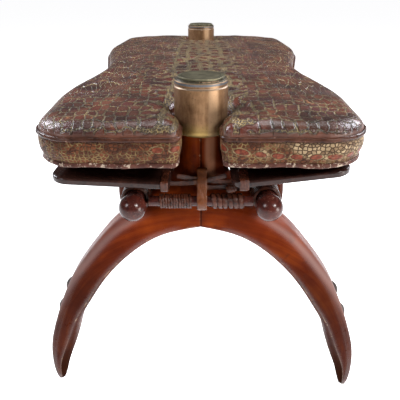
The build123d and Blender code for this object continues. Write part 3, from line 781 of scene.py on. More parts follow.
@dataclass
class CushionPlan:
    """The cushion's outline: two lobes, a waist and a notch round each post."""

    half_length: float = 347.5
    post: float = 279.5
    front_half_width: float = 165.0
    rear_half_width: float = 175.0
    waist_half_width: float = 135.0
    corner_draw: float = 6.0
    corner_round: float = 46.0
    skew_share: float = 0.013
    front_lobe_share: float = 0.6
    rear_lobe_share: float = 0.42
    lobe_round: float = 300.0
    waist_share: float = 0.17
    waist_round: float = 350.0
    mouth: float = 20.5
    mouth_round: float = 9.5
    notch: float = 32.1
    drop: float = 2.0
    back_share: float = 0.9
    fine_step: float = 0.5

    def notch_corners(self, end: int) -> List[Tuple[float, float, float]]:
        """Corners of one notch on the right side, from the mouth inwards.

        Args:
            end: -1 at the front, 1 at the rear.

        Returns:
            Places and rounds.
        """
        return [
            (self.mouth, end * self.half_length, self.mouth_round),
            (self.mouth, end * (self.post + self.notch - self.drop), self.mouth_round),
            (self.notch, end * (self.post + 2 * self.drop), self.mouth_round),
            (self.notch, end * (self.post - self.notch), self.notch * self.back_share),
        ]

    def corners(self) -> List[Tuple[float, float, float]]:
        """All corners of the outline, in order.

        Returns:
            Places and rounds.
        """
        length = self.half_length
        sides = [
            (self.front_half_width - self.corner_draw, -length, self.corner_round),
            (self.front_half_width, -self.front_lobe_share * length, self.lobe_round),
            (self.waist_half_width, -self.waist_share * length, self.waist_round),
            (self.rear_half_width, self.rear_lobe_share * length, self.lobe_round),
            (self.rear_half_width - self.corner_draw, length, self.corner_round),
        ]
        skews = [0.0, 0.0] + [self.skew_share * y for _, y, _ in sides[2:]]
        right = [(skew + x, y, rounding) for skew, (x, y, rounding) in zip(skews, sides)]
        left = [(skew - x, y, rounding) for skew, (x, y, rounding) in zip(skews, sides)]
        front, rear = self.notch_corners(-1)[::-1], self.notch_corners(1)
        over = [[(-x, y, rounding) for x, y, rounding in reversed(notch)] for notch in (front, rear)]
        return front + right + rear + over[1] + left[::-1] + over[0]

    def outline(self, spacing: float) -> np.ndarray:
        """Evenly spaced points round the outline, anticlockwise from above.

        Args:
            spacing: the distance between them, about.

        Returns:
            The points, one a row.
        """
        corners = self.corners()
        places = np.array([(x, y) for x, y, _ in corners])
        path: List[np.ndarray] = []
        for i, (_, _, rounding) in enumerate(corners):
            here = places[i]
            back = places[i - 1] - here
            on = places[(i + 1) % len(places)] - here
            back_way, on_way = back / np.linalg.norm(back), on / np.linalg.norm(on)
            open_angle = math.acos(float(np.clip(back_way @ on_way, -1.0, 1.0)))
            cut = rounding / math.tan(open_angle / 2)
            middle = back_way + on_way
            centre = here + middle / np.linalg.norm(middle) * rounding / math.sin(open_angle / 2)
            first = here + back_way * cut - centre
            turn = math.pi - open_angle
            if back_way[0] * on_way[1] - back_way[1] * on_way[0] > 0:
                turn = -turn
            count = max(3, int(abs(turn) * rounding / self.fine_step))
            for k in range(count + 1):
                a = turn * k / count
                c, s = math.cos(a), math.sin(a)
                path.append(centre + np.array([c * first[0] - s * first[1], s * first[0] + c * first[1]]))
        loop = np.array(path + [path[0]])
        run = lengths_along(loop)
        count = int(run[-1] / spacing)
        marks = np.arange(count) * run[-1] / count
        return np.stack([np.interp(marks, run, loop[:, 0]), np.interp(marks, run, loop[:, 1])], axis=1)


def lengths_along(path: np.ndarray) -> np.ndarray:
    """The length run at each point of a path, from its first."""
    return np.concatenate([[0.0], np.cumsum(np.linalg.norm(np.diff(path, axis=0), axis=1))])


def outward(loop: np.ndarray) -> np.ndarray:
    """Unit normals that point out of a closed anticlockwise loop.

    Args:
        loop: points, one a row.

    Returns:
        The normals, one a row.
    """
    ahead = np.roll(loop, -1, axis=0) - np.roll(loop, 1, axis=0)
    ahead /= np.linalg.norm(ahead, axis=1)[:, None]
    return np.stack([ahead[:, 1], -ahead[:, 0]], axis=1)


def make_mesh(name: str, points: np.ndarray, faces: Sequence[Face]) -> bpy.types.Object:
    """A smooth mesh object from points in millimetres.

    Args:
        name: the object's name.
        points: places, one a row.
        faces: rows of point numbers.

    Returns:
        The linked object.
    """
    mesh = bpy.data.meshes.new(name)
    mesh.from_pydata([tuple(p) for p in points * MM], [], [tuple(f) for f in faces])
    mesh.validate()
    mesh.polygons.foreach_set("use_smooth", [True] * len(mesh.polygons))
    thing = bpy.data.objects.new(name, mesh)
    bpy.context.scene.collection.objects.link(thing)
    return thing


def lay_out(mesh: bpy.types.Mesh, name: str, places: np.ndarray) -> None:
    """Give a mesh a UV layer.

    Args:
        mesh: the mesh.
        name: the layer's name.
        places: UV places in millimetres, one for each of its points.
    """
    corners = np.zeros(len(mesh.loops), dtype=np.int32)
    mesh.loops.foreach_get("vertex_index", corners)
    mesh.uv_layers.new(name=name).data.foreach_set("uv", (places * MM)[corners].ravel())


def hum(x: np.ndarray, y: np.ndarray, length: float, seed: float) -> np.ndarray:
    """Slow uneven waves between about -1 and 1.

    Args:
        x: places across.
        y: places along.
        length: wavelength in millimetres.
        seed: moves the waves.

    Returns:
        The waves' heights.
    """
    # The odd numbers keep the five waves out of step with each other.
    k = 2 * math.pi / length
    total = np.zeros_like(x)
    for i in range(5):
        angle = seed * 1.7 + i * 1.256
        scale = 1.0 + 0.37 * i
        phase = k * scale * (x * math.cos(angle) + y * math.sin(angle)) + seed * (i + 1) * 2.3
        swerve = np.sin(k * 0.6 * (x * math.sin(angle) - y * math.cos(angle)) + i)
        total += np.sin(phase + 0.8 * swerve) / scale
    return total / 2.6


@dataclass
class Cushion:
    """The stuffed leather cushion with its piping, side band and bottom welt."""

    plan: CushionPlan = field(default_factory=CushionPlan)
    seam: float = 374.0
    welt: float = 348.0
    top: float = 396.0
    across_drop: float = 6.0
    across_reach: float = 173.0
    along_drop: float = 5.0
    edge_run: float = 20.0
    edge_sharpness: float = 2.3
    sags: Tuple[Tuple[float, float, float], ...] = ((1.1, 120.0, 1.0), (0.5, 46.0, 2.0))
    post_dip: float = 3.0
    post_dip_reach: float = 52.0
    band_bulge: float = 2.2
    band_rows: int = 7
    puckers: Tuple[Span, ...] = ((0.25, 9.0), (0.35, 31.0))
    draw_in: float = 3.0
    draw_in_run: float = 25.0
    cord_radius: float = 2.4
    cord_sides: int = 10
    cord_proud: float = 0.3
    cord_waves: Tuple[Span, ...] = ((44, 0.6), (19, 0.5))
    cord_beads: Span = (150, 0.06)
    board_pivots: Span = (319.5, 322.5)
    board_tilts: Span = (3.0, 7.0)
    board_thickness: float = 7.0
    board_gap: float = 0.6
    board_inner: float = 31.0
    board_outer: float = 138.0
    past_board_run: float = 25.0
    past_board_height: float = 346.0
    under: float = 324.0
    end_lift: float = 22.0
    end_run: float = 74.0
    belly_run: float = 9.0
    rail_offset: float = 70.0
    spacing: float = 2.6
    rim_insets: Tuple[float, ...] = (0.7, 1.8, 3.4, 5.6)
    net_inset: float = 7.6
    grid: float = 4.0
    row_share: float = 0.866

    def roll(self, share: np.ndarray) -> np.ndarray:
        """How far the top has risen at a share of the way in to where it levels out."""
        return (1.0 - (1.0 - share) ** self.edge_sharpness) ** (1.0 / self.edge_sharpness)

    def crown(self, x: np.ndarray, y: np.ndarray, inset: np.ndarray) -> np.ndarray:
        """Height of the seat's top.

        Args:
            x: places across.
            y: places along.
            inset: distances from the outline.

        Returns:
            The heights.
        """
        share = np.clip(inset / self.edge_run, 0.0, 1.0)
        across, along = x / self.across_reach, y / self.plan.half_length
        peak = self.top - self.across_drop * across**2 - self.along_drop * along**2
        sag = sum(depth * hum(x, y, length, seed) for depth, length, seed in self.sags)
        from_post = (np.abs(y) - self.plan.post) ** 2 + x**2
        dip = self.post_dip * np.exp(-from_post / (2 * self.post_dip_reach**2))
        return self.seam + (peak + sag * share - dip - self.seam) * self.roll(share)

    def belly(self, x: np.ndarray, y: np.ndarray, inset: np.ndarray) -> np.ndarray:
        """Height of the underside, which rests on the boards.

        Args:
            x: places across.
            y: places along.
            inset: distances from the outline.

        Returns:
            The heights.
        """
        side, heights = np.abs(x), []
        for pivot, tilt in zip(self.board_pivots, self.board_tilts):
            slope = math.tan(math.radians(tilt))
            lift = self.board_thickness / math.cos(math.radians(tilt)) + self.board_gap
            on_board = np.clip(side, self.board_inner, self.board_outer)
            heights.append(pivot + (on_board - self.rail_offset) * slope + lift)
        left, right = heights
        share = np.clip((x + self.board_inner) / (2 * self.board_inner), 0.0, 1.0)
        low = np.where(side < self.board_inner, left * (1 - share) + right * share, left)
        low = np.where(x >= self.board_inner, right, low)
        far = np.clip((side - self.board_outer) / self.past_board_run, 0.0, 1.0)
        low = low + (self.past_board_height - low) * far
        end = np.clip((np.abs(y) - self.plan.half_length + self.end_run) / self.end_run, 0.0, 1.0)
        low = np.maximum(low, self.under + self.end_lift * end)
        share = np.clip(inset / self.belly_run, 0.0, 1.0)
        return self.welt + (low - self.welt) * np.sin(share * math.pi / 2)

    def flat_net(self, loop: np.ndarray) -> Tuple[np.ndarray, List[Face], np.ndarray, np.ndarray]:
        """A net of triangles inside the outline.

        Args:
            loop: the outline's points.

        Returns:
            The net's points, with the outline first, its triangles, each point's inset, and the way
            out from each point to the outline.
        """
        normals = outward(loop)
        dense = self.plan.outline(self.plan.fine_step)
        tree = KDTree(len(dense))
        for i, (px, py) in enumerate(dense):
            tree.insert((px, py, 0.0), i)
        tree.balance()
        limit = self.plan.rear_half_width + self.grid
        xs = np.arange(-limit, limit, self.grid)
        ys = np.arange(-self.plan.half_length, self.plan.half_length, self.grid * self.row_share)
        shifts = [self.grid / 2 * (j % 2) for j in range(len(ys))]
        rows = [np.stack([xs + shift, np.full_like(xs, y)], axis=1) for shift, y in zip(shifts, ys)]
        keep = [p for p in np.concatenate(rows) if tree.find((p[0], p[1], 0.0))[2] > self.net_inset]
        rims = [loop - normals * inset for inset in self.rim_insets]
        cloud = np.concatenate([loop] + rims + [np.array(keep)])
        count = len(loop)
        edges = [(i, (i + 1) % count) for i in range(count)]
        verts, _, faces, origin, _, _ = delaunay_2d_cdt([Vector(p) for p in cloud], edges, [], 1, 0.01)
        flat = np.array([(v.x, v.y) for v in verts])
        found = [tree.find((p[0], p[1], 0.0)) for p in flat]
        inset = np.array([hit[2] for hit in found])
        way = np.array([(hit[0].x, hit[0].y) for hit in found]) - flat
        way /= np.maximum(np.linalg.norm(way, axis=1), 0.3)[:, None]
        order = [0] * count
        for new, old in enumerate(origin):
            for o in old:
                if o < count:
                    order[o] = new
        inset[order] = 0.0
        way[order] = normals
        listing = order + sorted(set(range(len(flat))) - set(order))
        ranks = {old: rank for rank, old in enumerate(listing)}
        return flat[listing], [tuple(ranks[i] for i in f) for f in faces], inset[listing], way[listing]

    def laid_flat(self, flat: np.ndarray, inset: np.ndarray, way: np.ndarray) -> np.ndarray:
        """Places of the top's points on the leather before it was rolled over the edge.

        Args:
            flat: places in plan.
            inset: distances from the outline.
            way: the way out from each place.

        Returns:
            The places, one a row.
        """
        marks = np.linspace(0.0, self.edge_run, 200)
        rise = np.diff(self.roll(marks / self.edge_run)) * (self.top - self.across_drop - self.seam)
        run = np.hypot(rise, np.diff(marks))
        spare = np.concatenate([np.cumsum((run - np.diff(marks))[::-1])[::-1], [0.0]])
        return flat + way * np.interp(inset, marks, spare)[:, None]

    def band_rings(self, loop: np.ndarray, run: np.ndarray) -> List[np.ndarray]:
        """The side band's rings of points between the seam and the welt.

        Args:
            loop: the outline's points.
            run: the length run at each.

        Returns:
            The rings, from the top.
        """
        pucker = sum(depth * np.sin(run * 2 * math.pi / length) for depth, length in self.puckers)
        rings = []
        for k in range(1, self.band_rows):
            part = k / self.band_rows
            push = (self.band_bulge + pucker) * math.sin(math.pi * part) - self.draw_in * part**2
            level = np.full(len(loop), self.seam + (self.welt - self.seam) * part)
            rings.append(np.column_stack([loop + outward(loop) * push[:, None], level]))
        return rings

    def cover(self) -> bpy.types.Object:
        """The whole cover: top, side band and underside.

        Returns:
            The object, its faces numbered for the three materials that build adds.
        """
        loop = self.plan.outline(self.spacing)
        count, rows, run = len(loop), self.band_rows, lengths_along(loop)
        flat, triangles, inset, way = self.flat_net(loop)
        size, tops = len(flat), len(triangles)
        x, y = flat[:, 0], flat[:, 1]
        top = np.column_stack([x, y, self.crown(x, y, inset)])
        tuck = way * (self.draw_in * np.clip(1.0 - inset / self.draw_in_run, 0.0, 1.0))[:, None]
        bottom = np.column_stack([flat - tuck, self.belly(x, y, inset)])
        points = np.concatenate([top, bottom] + self.band_rings(loop, run))
        starts = [0] + [2 * size + k * count for k in range(rows - 1)] + [size]
        faces = triangles + [tuple(size + i for i in reversed(t)) for t in triangles]
        band_places = []
        for k in range(rows):
            for i in range(count):
                corners = ((i, k), (i, k + 1), (i + 1, k + 1), (i + 1, k))
                faces.append(tuple(starts[b] + a % count for a, b in corners))
                for a, b in corners:
                    reach = run[a] if a < count else run[-1] + self.spacing
                    band_places.append((reach, (self.welt - self.seam) * b / rows))
        thing = make_mesh("cushion_cover", points, faces)
        mesh = thing.data
        mesh.polygons.foreach_set("material_index", [0] * tops + [2] * tops + [1] * (rows * count))
        spread = self.laid_flat(flat, inset, way)
        lay_out(mesh, "plan", np.concatenate([spread, flat, np.tile(loop, (rows - 1, 1))]))
        places = np.concatenate([np.zeros((2 * 3 * tops, 2)), np.array(band_places) * MM])
        mesh.uv_layers.new(name="lay").data.foreach_set("uv", places.ravel())
        return thing

    def cord(self, name: str, height: float, wobble: float, inward: float) -> bpy.types.Object:
        """A leather-covered cord sewn round the outline.

        Args:
            name: the object's name.
            height: its height.
            wobble: how far it rises and sinks.
            inward: how far inside the outline it runs.

        Returns:
            The object.
        """
        loop = self.plan.outline(self.spacing)
        count, side = len(loop), outward(loop)
        loop = loop - side * inward
        run = np.arange(count) * self.spacing
        angles, whole = run * 2 * math.pi, run[-1]
        waves = sum(share * np.sin(angles / (whole / number)) for number, share in self.cord_waves)
        beads, share = self.cord_beads
        thick = self.cord_radius * (1.0 + share * np.sin(angles / (whole / beads)))
        rings, faces = [], []
        for k in range(self.cord_sides):
            angle = 2 * math.pi * k / self.cord_sides
            ring = loop + side * (self.cord_proud + thick * math.cos(angle))[:, None]
            rings.append(np.column_stack([ring, height + wobble * waves + thick * math.sin(angle)]))
            here, there = k * count, (k + 1) % self.cord_sides * count
            for i in range(count):
                j = (i + 1) % count
                faces.append((here + i, here + j, there + j, there + i))
        return make_mesh(name, np.concatenate(rings), faces)

    def build(self) -> List[bpy.types.Object]:
        """Make and dress the cushion's pieces.

        Returns:
            The pieces.
        """
        cover = self.cover()
        for material in (SeatLeather().material(), BandLeather().material(), piping_leather()):
            cover.data.materials.append(material)
        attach(cover, "cushion")
        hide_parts("cushion_top", "cushion_boxing", "cushion_base", "cushion_filling")
        piping = self.cord("cushion_top_cord", self.seam, 0.3, 0.0)
        piping.data.materials.append(piping_leather())
        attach(piping, "cushion")
        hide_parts("cushion_piping")
        welt = self.cord("cushion_bottom_cord", self.welt, 0.9, self.draw_in)
        welt.data.materials.append(welt_leather())
        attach(welt, "cushion")
        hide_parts("cushion_welt")
        return [cover, piping, welt]


# Lashings


@dataclass(frozen=True)
class Coil:
    """A flat thong wound side by side round a bar, about its own Z axis from zero."""

    name: str
    bar: float
    thickness: float
    pitch: float
    turns: int
    width: float
    origin: Place
    axes: Tuple[Tuple[int, int, int], ...]


@dataclass(frozen=True)
class Loop:
    """A strap looped round circles that stand in a plane across the bars."""

    name: str
    offset: float
    width: float
    circles: Tuple[Place, ...]


@dataclass
class Lashings:
    """The leather thongs, straps, strands and knots of both ends of the stool.

    Each is made about the front post's axis, in millimetres, and mirrored at the rear.
    """

    post: float = 279.5
    bar_height: float = 295.5
    rail_offset: float = 70.0
    rail_radius: float = 11.0
    bar_ahead: float = 34.6
    bar_radius: float = 5.5
    bound_bar_radius: float = 8.6
    bar_clearance: float = 0.2
    board_reach: float = 55.0
    strap: float = 1.5
    gap: float = 0.3
    strand_width: float = 5.8
    strand_ahead: float = 25.2
    strand_layer: float = 1.8
    strand_low: float = 306.0
    strand_rise: float = 18.0
    strand_reach: float = 47.0
    strand_shares: Tuple[Tuple[float, ...], ...] = (
        (-0.56, 0.82, 0.52, 1.0, 0.36, 0),
        (-1.0, 0.46, 0.42, 0.58, 0.9, 1),
        (-0.1, 0.04, 0.12, 0.6, 0.14, 1),
    )
    knot_radius: float = 4.6
    knot_half_length: float = 6.0
    knot_turns: int = 4
    knot_lean: float = 75.0
    knot_place: Place = (31.8, -33.6, 308.7)
    sides: int = 12
    edge_power: float = 0.7
    coil_steps: int = 40
    loop_steps: int = 48
    loop_spacing: float = 0.8
    strand_steps: int = 60
    knot_steps: int = 36

    def ribbon(
        self, path: np.ndarray, across: np.ndarray, out: np.ndarray, width: float, thick: float, taper: bool
    ) -> Strip:
        """A strip with rounded edges along a path.

        Args:
            path: middle points, one a row.
            across: unit vectors across the strip.
            out: unit vectors through its thickness.
            width: its width.
            thick: its thickness.
            taper: round off both ends, for a strip that doesn't close on itself.

        Returns:
            Points, faces, and each point's run along and across the strip.
        """
        run, count = lengths_along(path), len(path)
        half_width, half_thick = width / 2, thick / 2
        full = np.ones(count)
        if taper:
            near = np.clip(np.minimum(run, run[-1] - run) / half_width, 0.0025, 1.0)
            full = np.sqrt(near * (2.0 - near))
        # A strip cut by hand is never quite even in width.
        wander = 1.0 + 0.05 * np.sin(run * 0.41 + half_width) + 0.03 * np.sin(run * 1.13)
        points, places, faces = [], [], []
        for k in range(self.sides):
            angle = 2 * math.pi * (k + 0.5) / self.sides
            c, t = math.cos(angle), math.sin(angle)
            wide = math.copysign(abs(c) ** self.edge_power, c) * half_width
            deep = math.copysign(abs(t) ** self.edge_power, t) * half_thick
            points.append(path + across * (wide * full * wander)[:, None] + out * (deep * full)[:, None])
            places.append(np.column_stack([run, np.full(count, wide + deep)]))
            a, b = k * count, (k + 1) % self.sides * count
            faces += [(a + i, b + i, b + i + 1, a + i + 1) for i in range(count - 1)]
        if taper:
            faces.append(tuple(k * count for k in reversed(range(self.sides))))
            faces.append(tuple(k * count + count - 1 for k in range(self.sides)))
        return np.concatenate(points), faces, np.concatenate(places)

    def coil(self, coil: Coil) -> Strip:
        """A wound thong.

        Args:
            coil: its sizes.

        Returns:
            Points, faces and places on the strip.
        """
        turn = np.linspace(0.0, 2 * math.pi * coil.turns, coil.turns * self.coil_steps + 1)
        radius = coil.bar + self.bar_clearance + coil.thickness / 2
        uneven = 0.12 * np.sin(turn * 1.31) + 0.1 * np.sin(turn * 0.57)
        out = np.column_stack([np.cos(turn), np.sin(turn), np.zeros_like(turn)])
        path = out * (radius + np.abs(uneven) * 0.5)[:, None]
        path[:, 2] = coil.pitch * turn / (2 * math.pi) + uneven
        across = np.tile((0.0, 0.0, 1.0), (len(turn), 1))
        matrix = np.array(coil.axes, dtype=float)
        path = path @ matrix + np.array(coil.origin)
        return self.ribbon(path, across @ matrix, out @ matrix, coil.width, coil.thickness, True)

    def loop(self, loop: Loop) -> Strip:
        """A strap looped round its circles.

        Args:
            loop: its sizes.

        Returns:
            Points, faces and places on the strip.
        """
        cloud = []
        for y, z, radius in loop.circles:
            for k in range(self.loop_steps):
                angle = 2 * math.pi * k / self.loop_steps
                reach = radius + self.strap / 2
                cloud.append((y + reach * math.cos(angle), z + reach * math.sin(angle)))
        cloud.sort()
        hull: List[Span] = []
        for row in (cloud, cloud[::-1]):
            start = len(hull)
            for spot in row:
                while len(hull) >= start + 2:
                    (ay, az), (by, bz) = hull[-2], hull[-1]
                    if (by - ay) * (spot[1] - az) - (bz - az) * (spot[0] - ay) > 0:
                        break
                    hull.pop()
                hull.append(spot)
            hull.pop()
        ring = np.array(hull + hull[:1])
        run = lengths_along(ring)
        marks = np.linspace(0.0, run[-1], int(run[-1] / self.loop_spacing))
        ring = np.column_stack([np.interp(marks, run, ring[:, 0]), np.interp(marks, run, ring[:, 1])])
        out = outward(ring[:-1])
        count = len(ring)
        path = np.column_stack([np.full(count, loop.offset), ring])
        deep = np.column_stack([np.zeros(count), np.concatenate([out, out[:1]])])
        across = np.tile((1.0, 0.0, 0.0), (count, 1))
        return self.ribbon(path, across, deep, loop.width, self.strap, False)

    def strands(self) -> Strip:
        """The strands that cross in front of the post.

        Returns:
            Points, faces and places on the strips.
        """
        points, faces, places = [], [], []
        t = np.linspace(0.0, 1.0, self.strand_steps)
        for left, left_rise, middle_rise, right, right_rise, layer in self.strand_shares:
            x = (left + (right - left) * t) * self.strand_reach
            rise = left_rise * (1 - t) * (1 - 2 * t) + 4 * middle_rise * t * (1 - t)
            rise = rise + right_rise * t * (2 * t - 1)
            depth = self.strand_ahead + self.strand_layer * layer + self.strap / 2
            path = np.column_stack([x, np.full_like(x, -depth), self.strand_low + rise * self.strand_rise])
            ahead = np.gradient(path, axis=0)
            ahead /= np.linalg.norm(ahead, axis=1)[:, None]
            across = np.column_stack([-ahead[:, 2], np.zeros_like(x), ahead[:, 0]])
            out = np.tile((0.0, -1.0, 0.0), (len(x), 1))
            some, rows, spots = self.ribbon(path, across, out, self.strand_width, self.strap, True)
            base = sum(len(part) for part in points)
            points.append(some)
            faces += [tuple(base + i for i in row) for row in rows]
            places.append(spots)
        return np.concatenate(points), faces, np.concatenate(places)

    def knot(self) -> Strip:
        """A knot of a few tight turns that fill an egg shape.

        Returns:
            Points, faces and places on the strip.
        """
        turn = np.linspace(0.0, 2 * math.pi * self.knot_turns, self.knot_turns * self.knot_steps)
        height = np.linspace(-0.8, 0.8, len(turn)) * self.knot_half_length
        round_share = np.sqrt(1.0 - (height / self.knot_half_length) ** 2 * 0.8)
        reach = (self.knot_radius - self.strap / 2) * round_share
        out = np.column_stack([np.cos(turn), np.sin(turn), np.zeros_like(turn)])
        path = out * reach[:, None] + np.column_stack([np.zeros((len(turn), 2)), height])
        lean = math.radians(self.knot_lean)
        c, n = math.cos(lean), math.sin(lean)
        matrix = np.array(((c, 0.0, -n), (0.0, 1.0, 0.0), (n, 0.0, c)))
        across = np.tile((0.0, 0.0, 1.0), (len(turn), 1))
        path = path @ matrix + np.array(self.knot_place)
        return self.ribbon(path, across @ matrix, out @ matrix, 2 * self.strap, self.strap, True)

    def place(self, name: str, made: Strip, leather: bpy.types.Material) -> List[bpy.types.Object]:
        """Make the front and the rear copy of a piece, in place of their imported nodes.

        Args:
            name: the piece's name without its end.
            made: points, faces and places on the strip.
            leather: its material.

        Returns:
            The two objects.
        """
        points, faces, places = made
        pieces = []
        for end, sign in (("front", 1), ("rear", -1)):
            spots = points * np.array((1.0, sign, 1.0)) - np.array((0.0, sign * self.post, 0.0))
            rows = faces if sign > 0 else [tuple(reversed(face)) for face in faces]
            piece = make_mesh(f"{end}_{name}_leather", spots, rows)
            lay_out(piece.data, "lay", places)
            piece.data.materials.append(leather)
            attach(piece, "frame")
            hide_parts(f"{end}_{name}")
            pieces.append(piece)
        return pieces

    def coils(self) -> List[Coil]:
        """The thongs wound round the rails and the crossbar.

        Returns:
            Their sizes.
        """
        on_rail = ((1, 0, 0), (0, 0, 1), (0, -1, 0))
        on_bar = ((0, 0, -1), (0, 1, 0), (1, 0, 0))
        ahead, height = self.bar_ahead, self.bar_height
        rail, bar = self.rail_radius, self.bar_radius
        left, right = (-self.rail_offset, 16.0, height), (self.rail_offset, 16.0, height)
        return [
            Coil("rail_binding_left", rail, 3.8, 4.4, 11, 4.2, left, on_rail),
            Coil("rail_binding_right", rail, 3.8, 4.4, 11, 4.2, right, on_rail),
            Coil("crossbar_fine_binding", bar, 2.3, 2.8, 12, 2.6, (-44.0, -ahead, height), on_bar),
            Coil("crossbar_broad_binding", bar, 2.6, 5.6, 6, 5.0, (10.0, -ahead, height), on_bar),
        ]

    def loops(self) -> List[Loop]:
        """The straps looped over the strands, the boards and the crossbar.

        Returns:
            Their sizes.
        """
        near, far, gap = self.strand_ahead, self.strand_ahead + 2 * self.strand_layer, self.gap
        bar = (-self.bar_ahead, self.bar_height, self.bound_bar_radius)
        hung = ((-near, 306.0, gap), (-near, 328.0, gap), (-far, 328.0, gap), (-far, 306.0, gap), bar)
        ties = []
        for name, offset, width, low, top, under in (
            ("board_tie_left", -36.5, 7.5, 307.5, 324.9, 317.6),
            ("board_tie_right", 43.0, 9.5, 304.5, 326.8, 318.6),
        ):
            back = -self.board_reach
            circles = ((-near, low, gap), (-near, top, gap), (back, top, gap), (back, under, gap))
            ties.append(Loop(name, offset, width, circles))
        return [Loop("centre_strap", 1.0, 10.5, hung)] + ties

    def build(self) -> List[bpy.types.Object]:
        """Make and dress every lashing.

        Returns:
            The pieces.
        """
        made = [(coil.name, self.coil(coil)) for coil in self.coils()]
        made += [(loop.name, self.loop(loop)) for loop in self.loops()]
        made += [("post_strands", self.strands()), ("strand_knot", self.knot())]
        leather = ThongLeather().material()
        return [piece for name, strip in made for piece in self.place(name, strip, leather)]


# The hard pieces


class Finish(Enum):
    """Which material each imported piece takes."""

    YOKE = "yoke"
    TURNED = "turned"
    BOARD = "board"
    CAP = "cap"
    PLATE = "plate"
    IRON = "iron"
    THONG = "thong"


@dataclass
class HardPieces:
    """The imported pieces, each with its finish; the thongs among them are only packed, not shown."""

    words: Tuple[Tuple[str, Finish], ...] = (
        ("yoke_pegs", Finish.TURNED),
        ("yoke", Finish.YOKE),
        ("nails", Finish.IRON),
        ("studs", Finish.IRON),
        ("cap_shell", Finish.CAP),
        ("cap_plate", Finish.PLATE),
        ("binding", Finish.THONG),
        ("strands", Finish.THONG),
        ("strap", Finish.THONG),
        ("tie", Finish.THONG),
        ("knot", Finish.THONG),
        ("crossbar", Finish.TURNED),
        ("rail", Finish.TURNED),
        ("board", Finish.BOARD),
    )

    def finishes(self) -> Dict[Finish, bpy.types.Material]:
        """Build every finish once.

        Returns:
            The materials by finish.
        """
        turned = DarkWood("rail_wood", (0.018, 0.004, 0.004), (0.10, 0.022, 0.014), 0.8)
        sawn = DarkWood("board_wood", (0.008, 0.004, 0.004), (0.045, 0.017, 0.012), 0.15)
        return {
            Finish.YOKE: YokeWood().material(),
            Finish.TURNED: turned.material(),
            Finish.BOARD: sawn.material(),
            Finish.CAP: AgedBrass("cap_brass").material(),
            Finish.PLATE: AgedBrass("plate_brass", True).material(),
            Finish.IRON: BlackIron().material(),
            Finish.THONG: ThongLeather().material(),
        }

    def dress(self) -> int:
        """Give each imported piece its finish.

        Returns:
            How many pieces were dressed.
        """
        made = self.finishes()
        count = 0
        for name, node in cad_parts.items():
            finish = next((finish for word, finish in self.words if word in name), None)
            if finish is not None:
                node.data.materials.clear()
                node.data.materials.append(made[finish])
                count += 1
        return count


# The room


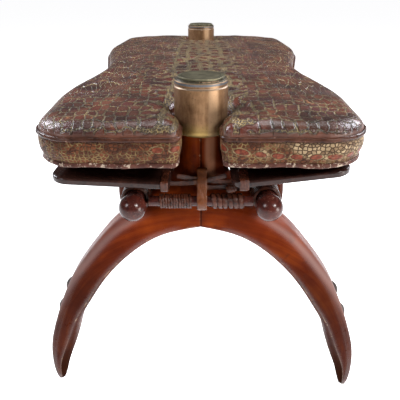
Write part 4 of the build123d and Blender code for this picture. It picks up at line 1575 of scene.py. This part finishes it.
@dataclass
class Studio:
    """White room, lamps and the camera at the photo's angle, in metres."""

    lens: float = 40.5
    sensor: float = 36.0
    place: Place = (0.0, -0.7395, 0.5066)
    tilt: float = 63.4
    shift: Span = (-0.0025, 0.0065)
    floor_reach: float = 40.0
    floor_glow: float = 0.86
    floor_tones: Tuple[Colour, Colour] = ((0.90, 0.90, 0.90), (0.92, 0.92, 0.92))
    sky: Colour = (0.13, 0.13, 0.14)
    lamps: Tuple[Tuple[str, Place, Place, float, float, Colour], ...] = (
        ("key", (1.1, -1.3, 1.35), (0.0, -0.15, 0.3), 0.4, 24.0, (1.0, 0.97, 0.94)),
        ("fill", (-1.2, -1.2, 1.3), (0.0, -0.15, 0.3), 0.5, 12.0, (0.97, 0.97, 1.0)),
        ("low", (1.4, -1.0, 0.3), (0.0, -0.28, 0.36), 0.5, 12.0, (1.0, 0.95, 0.9)),
        ("back_left", (-1.3, 0.5, 1.2), (0.0, -0.1, 0.25), 0.5, 26.0, (0.90, 0.92, 1.0)),
        ("back_right", (1.3, 0.5, 1.2), (0.0, -0.1, 0.25), 0.5, 26.0, (0.90, 0.92, 1.0)),
        ("top", (0.05, 0.2, 1.9), (0.0, 0.0, 0.35), 0.7, 14.0, (1.0, 1.0, 1.0)),
    )

    def floor(self) -> None:
        """A wide white floor that keeps the stool's shadow."""
        size = self.floor_reach
        corners = np.array([(-size, -size, 0), (size, -size, 0), (size, size, 0), (-size, size, 0)]) / MM
        floor = make_mesh("floor", corners, [(0, 1, 2, 3)])
        r = Recipe("floor_white")
        rays = ("Camera", "Glossy", "Transmission")
        seen, glossy, through = (r.step("ShaderNodeLightPath", {}, f"Is {ray} Ray") for ray in rays)
        seen = r.calc("MAXIMUM", r.calc("MAXIMUM", seen, glossy), through)
        floor.data.materials.append(
            r.finish(
                Base_Color=r.ramp(r.noise(r.coords(), 400.0, 2.0), list(enumerate(self.floor_tones))),
                Roughness=0.95,
                Emission_Color=(1.0, 1.0, 1.0),
                Emission_Strength=seen * self.floor_glow,
            )
        )

    def lamp(self, name: str, place: Place, aim: Place, size: float, power: float, tint: Colour) -> None:
        """One soft square lamp.

        Args:
            name: its name.
            place: where it hangs.
            aim: what it faces.
            size: side length.
            power: watts.
            tint: colour of the light.
        """
        data = bpy.data.lights.new(name, "AREA")
        data.shape, data.size, data.energy, data.color = "SQUARE", size, power, tint
        lamp = bpy.data.objects.new(name, data)
        lamp.location = place
        lamp.rotation_euler = (Vector(aim) - Vector(place)).to_track_quat("-Z", "Y").to_euler()
        bpy.context.scene.collection.objects.link(lamp)

    def world(self) -> None:
        """Plain soft light from all round."""
        world = bpy.data.worlds.new("room")
        bpy.context.scene.world = world
        world.use_nodes = True
        back = world.node_tree.nodes["Background"]
        back.inputs[0].default_value = (*self.sky, 1.0)
        back.inputs[1].default_value = 1.0

    def camera(self) -> None:
        """The camera at the photo's angle."""
        data = bpy.data.cameras.new("camera")
        data.lens, data.sensor_width, data.clip_start = self.lens, self.sensor, 0.01
        data.shift_x, data.shift_y = self.shift
        camera = bpy.data.objects.new("camera", data)
        camera.location = self.place
        camera.rotation_euler = (math.radians(self.tilt), 0.0, 0.0)
        bpy.context.scene.collection.objects.link(camera)
        bpy.context.scene.camera = camera

    def build(self) -> None:
        """Make the room."""
        self.floor()
        self.world()
        for lamp in self.lamps:
            self.lamp(*lamp)
        self.camera()
        bpy.context.scene.view_settings.view_transform = "Standard"


def main() -> None:
    """Build the scene and report its pieces."""
    logging.basicConfig(level=logging.INFO, format="%(message)s")
    Studio().build()
    LOG.info("dressed %d packed pieces", HardPieces().dress())
    for piece in Cushion().build() + Lashings().build():
        LOG.info("%s: %d points", piece.name, len(piece.data.vertices))


if __name__ == "__main__":
    main()
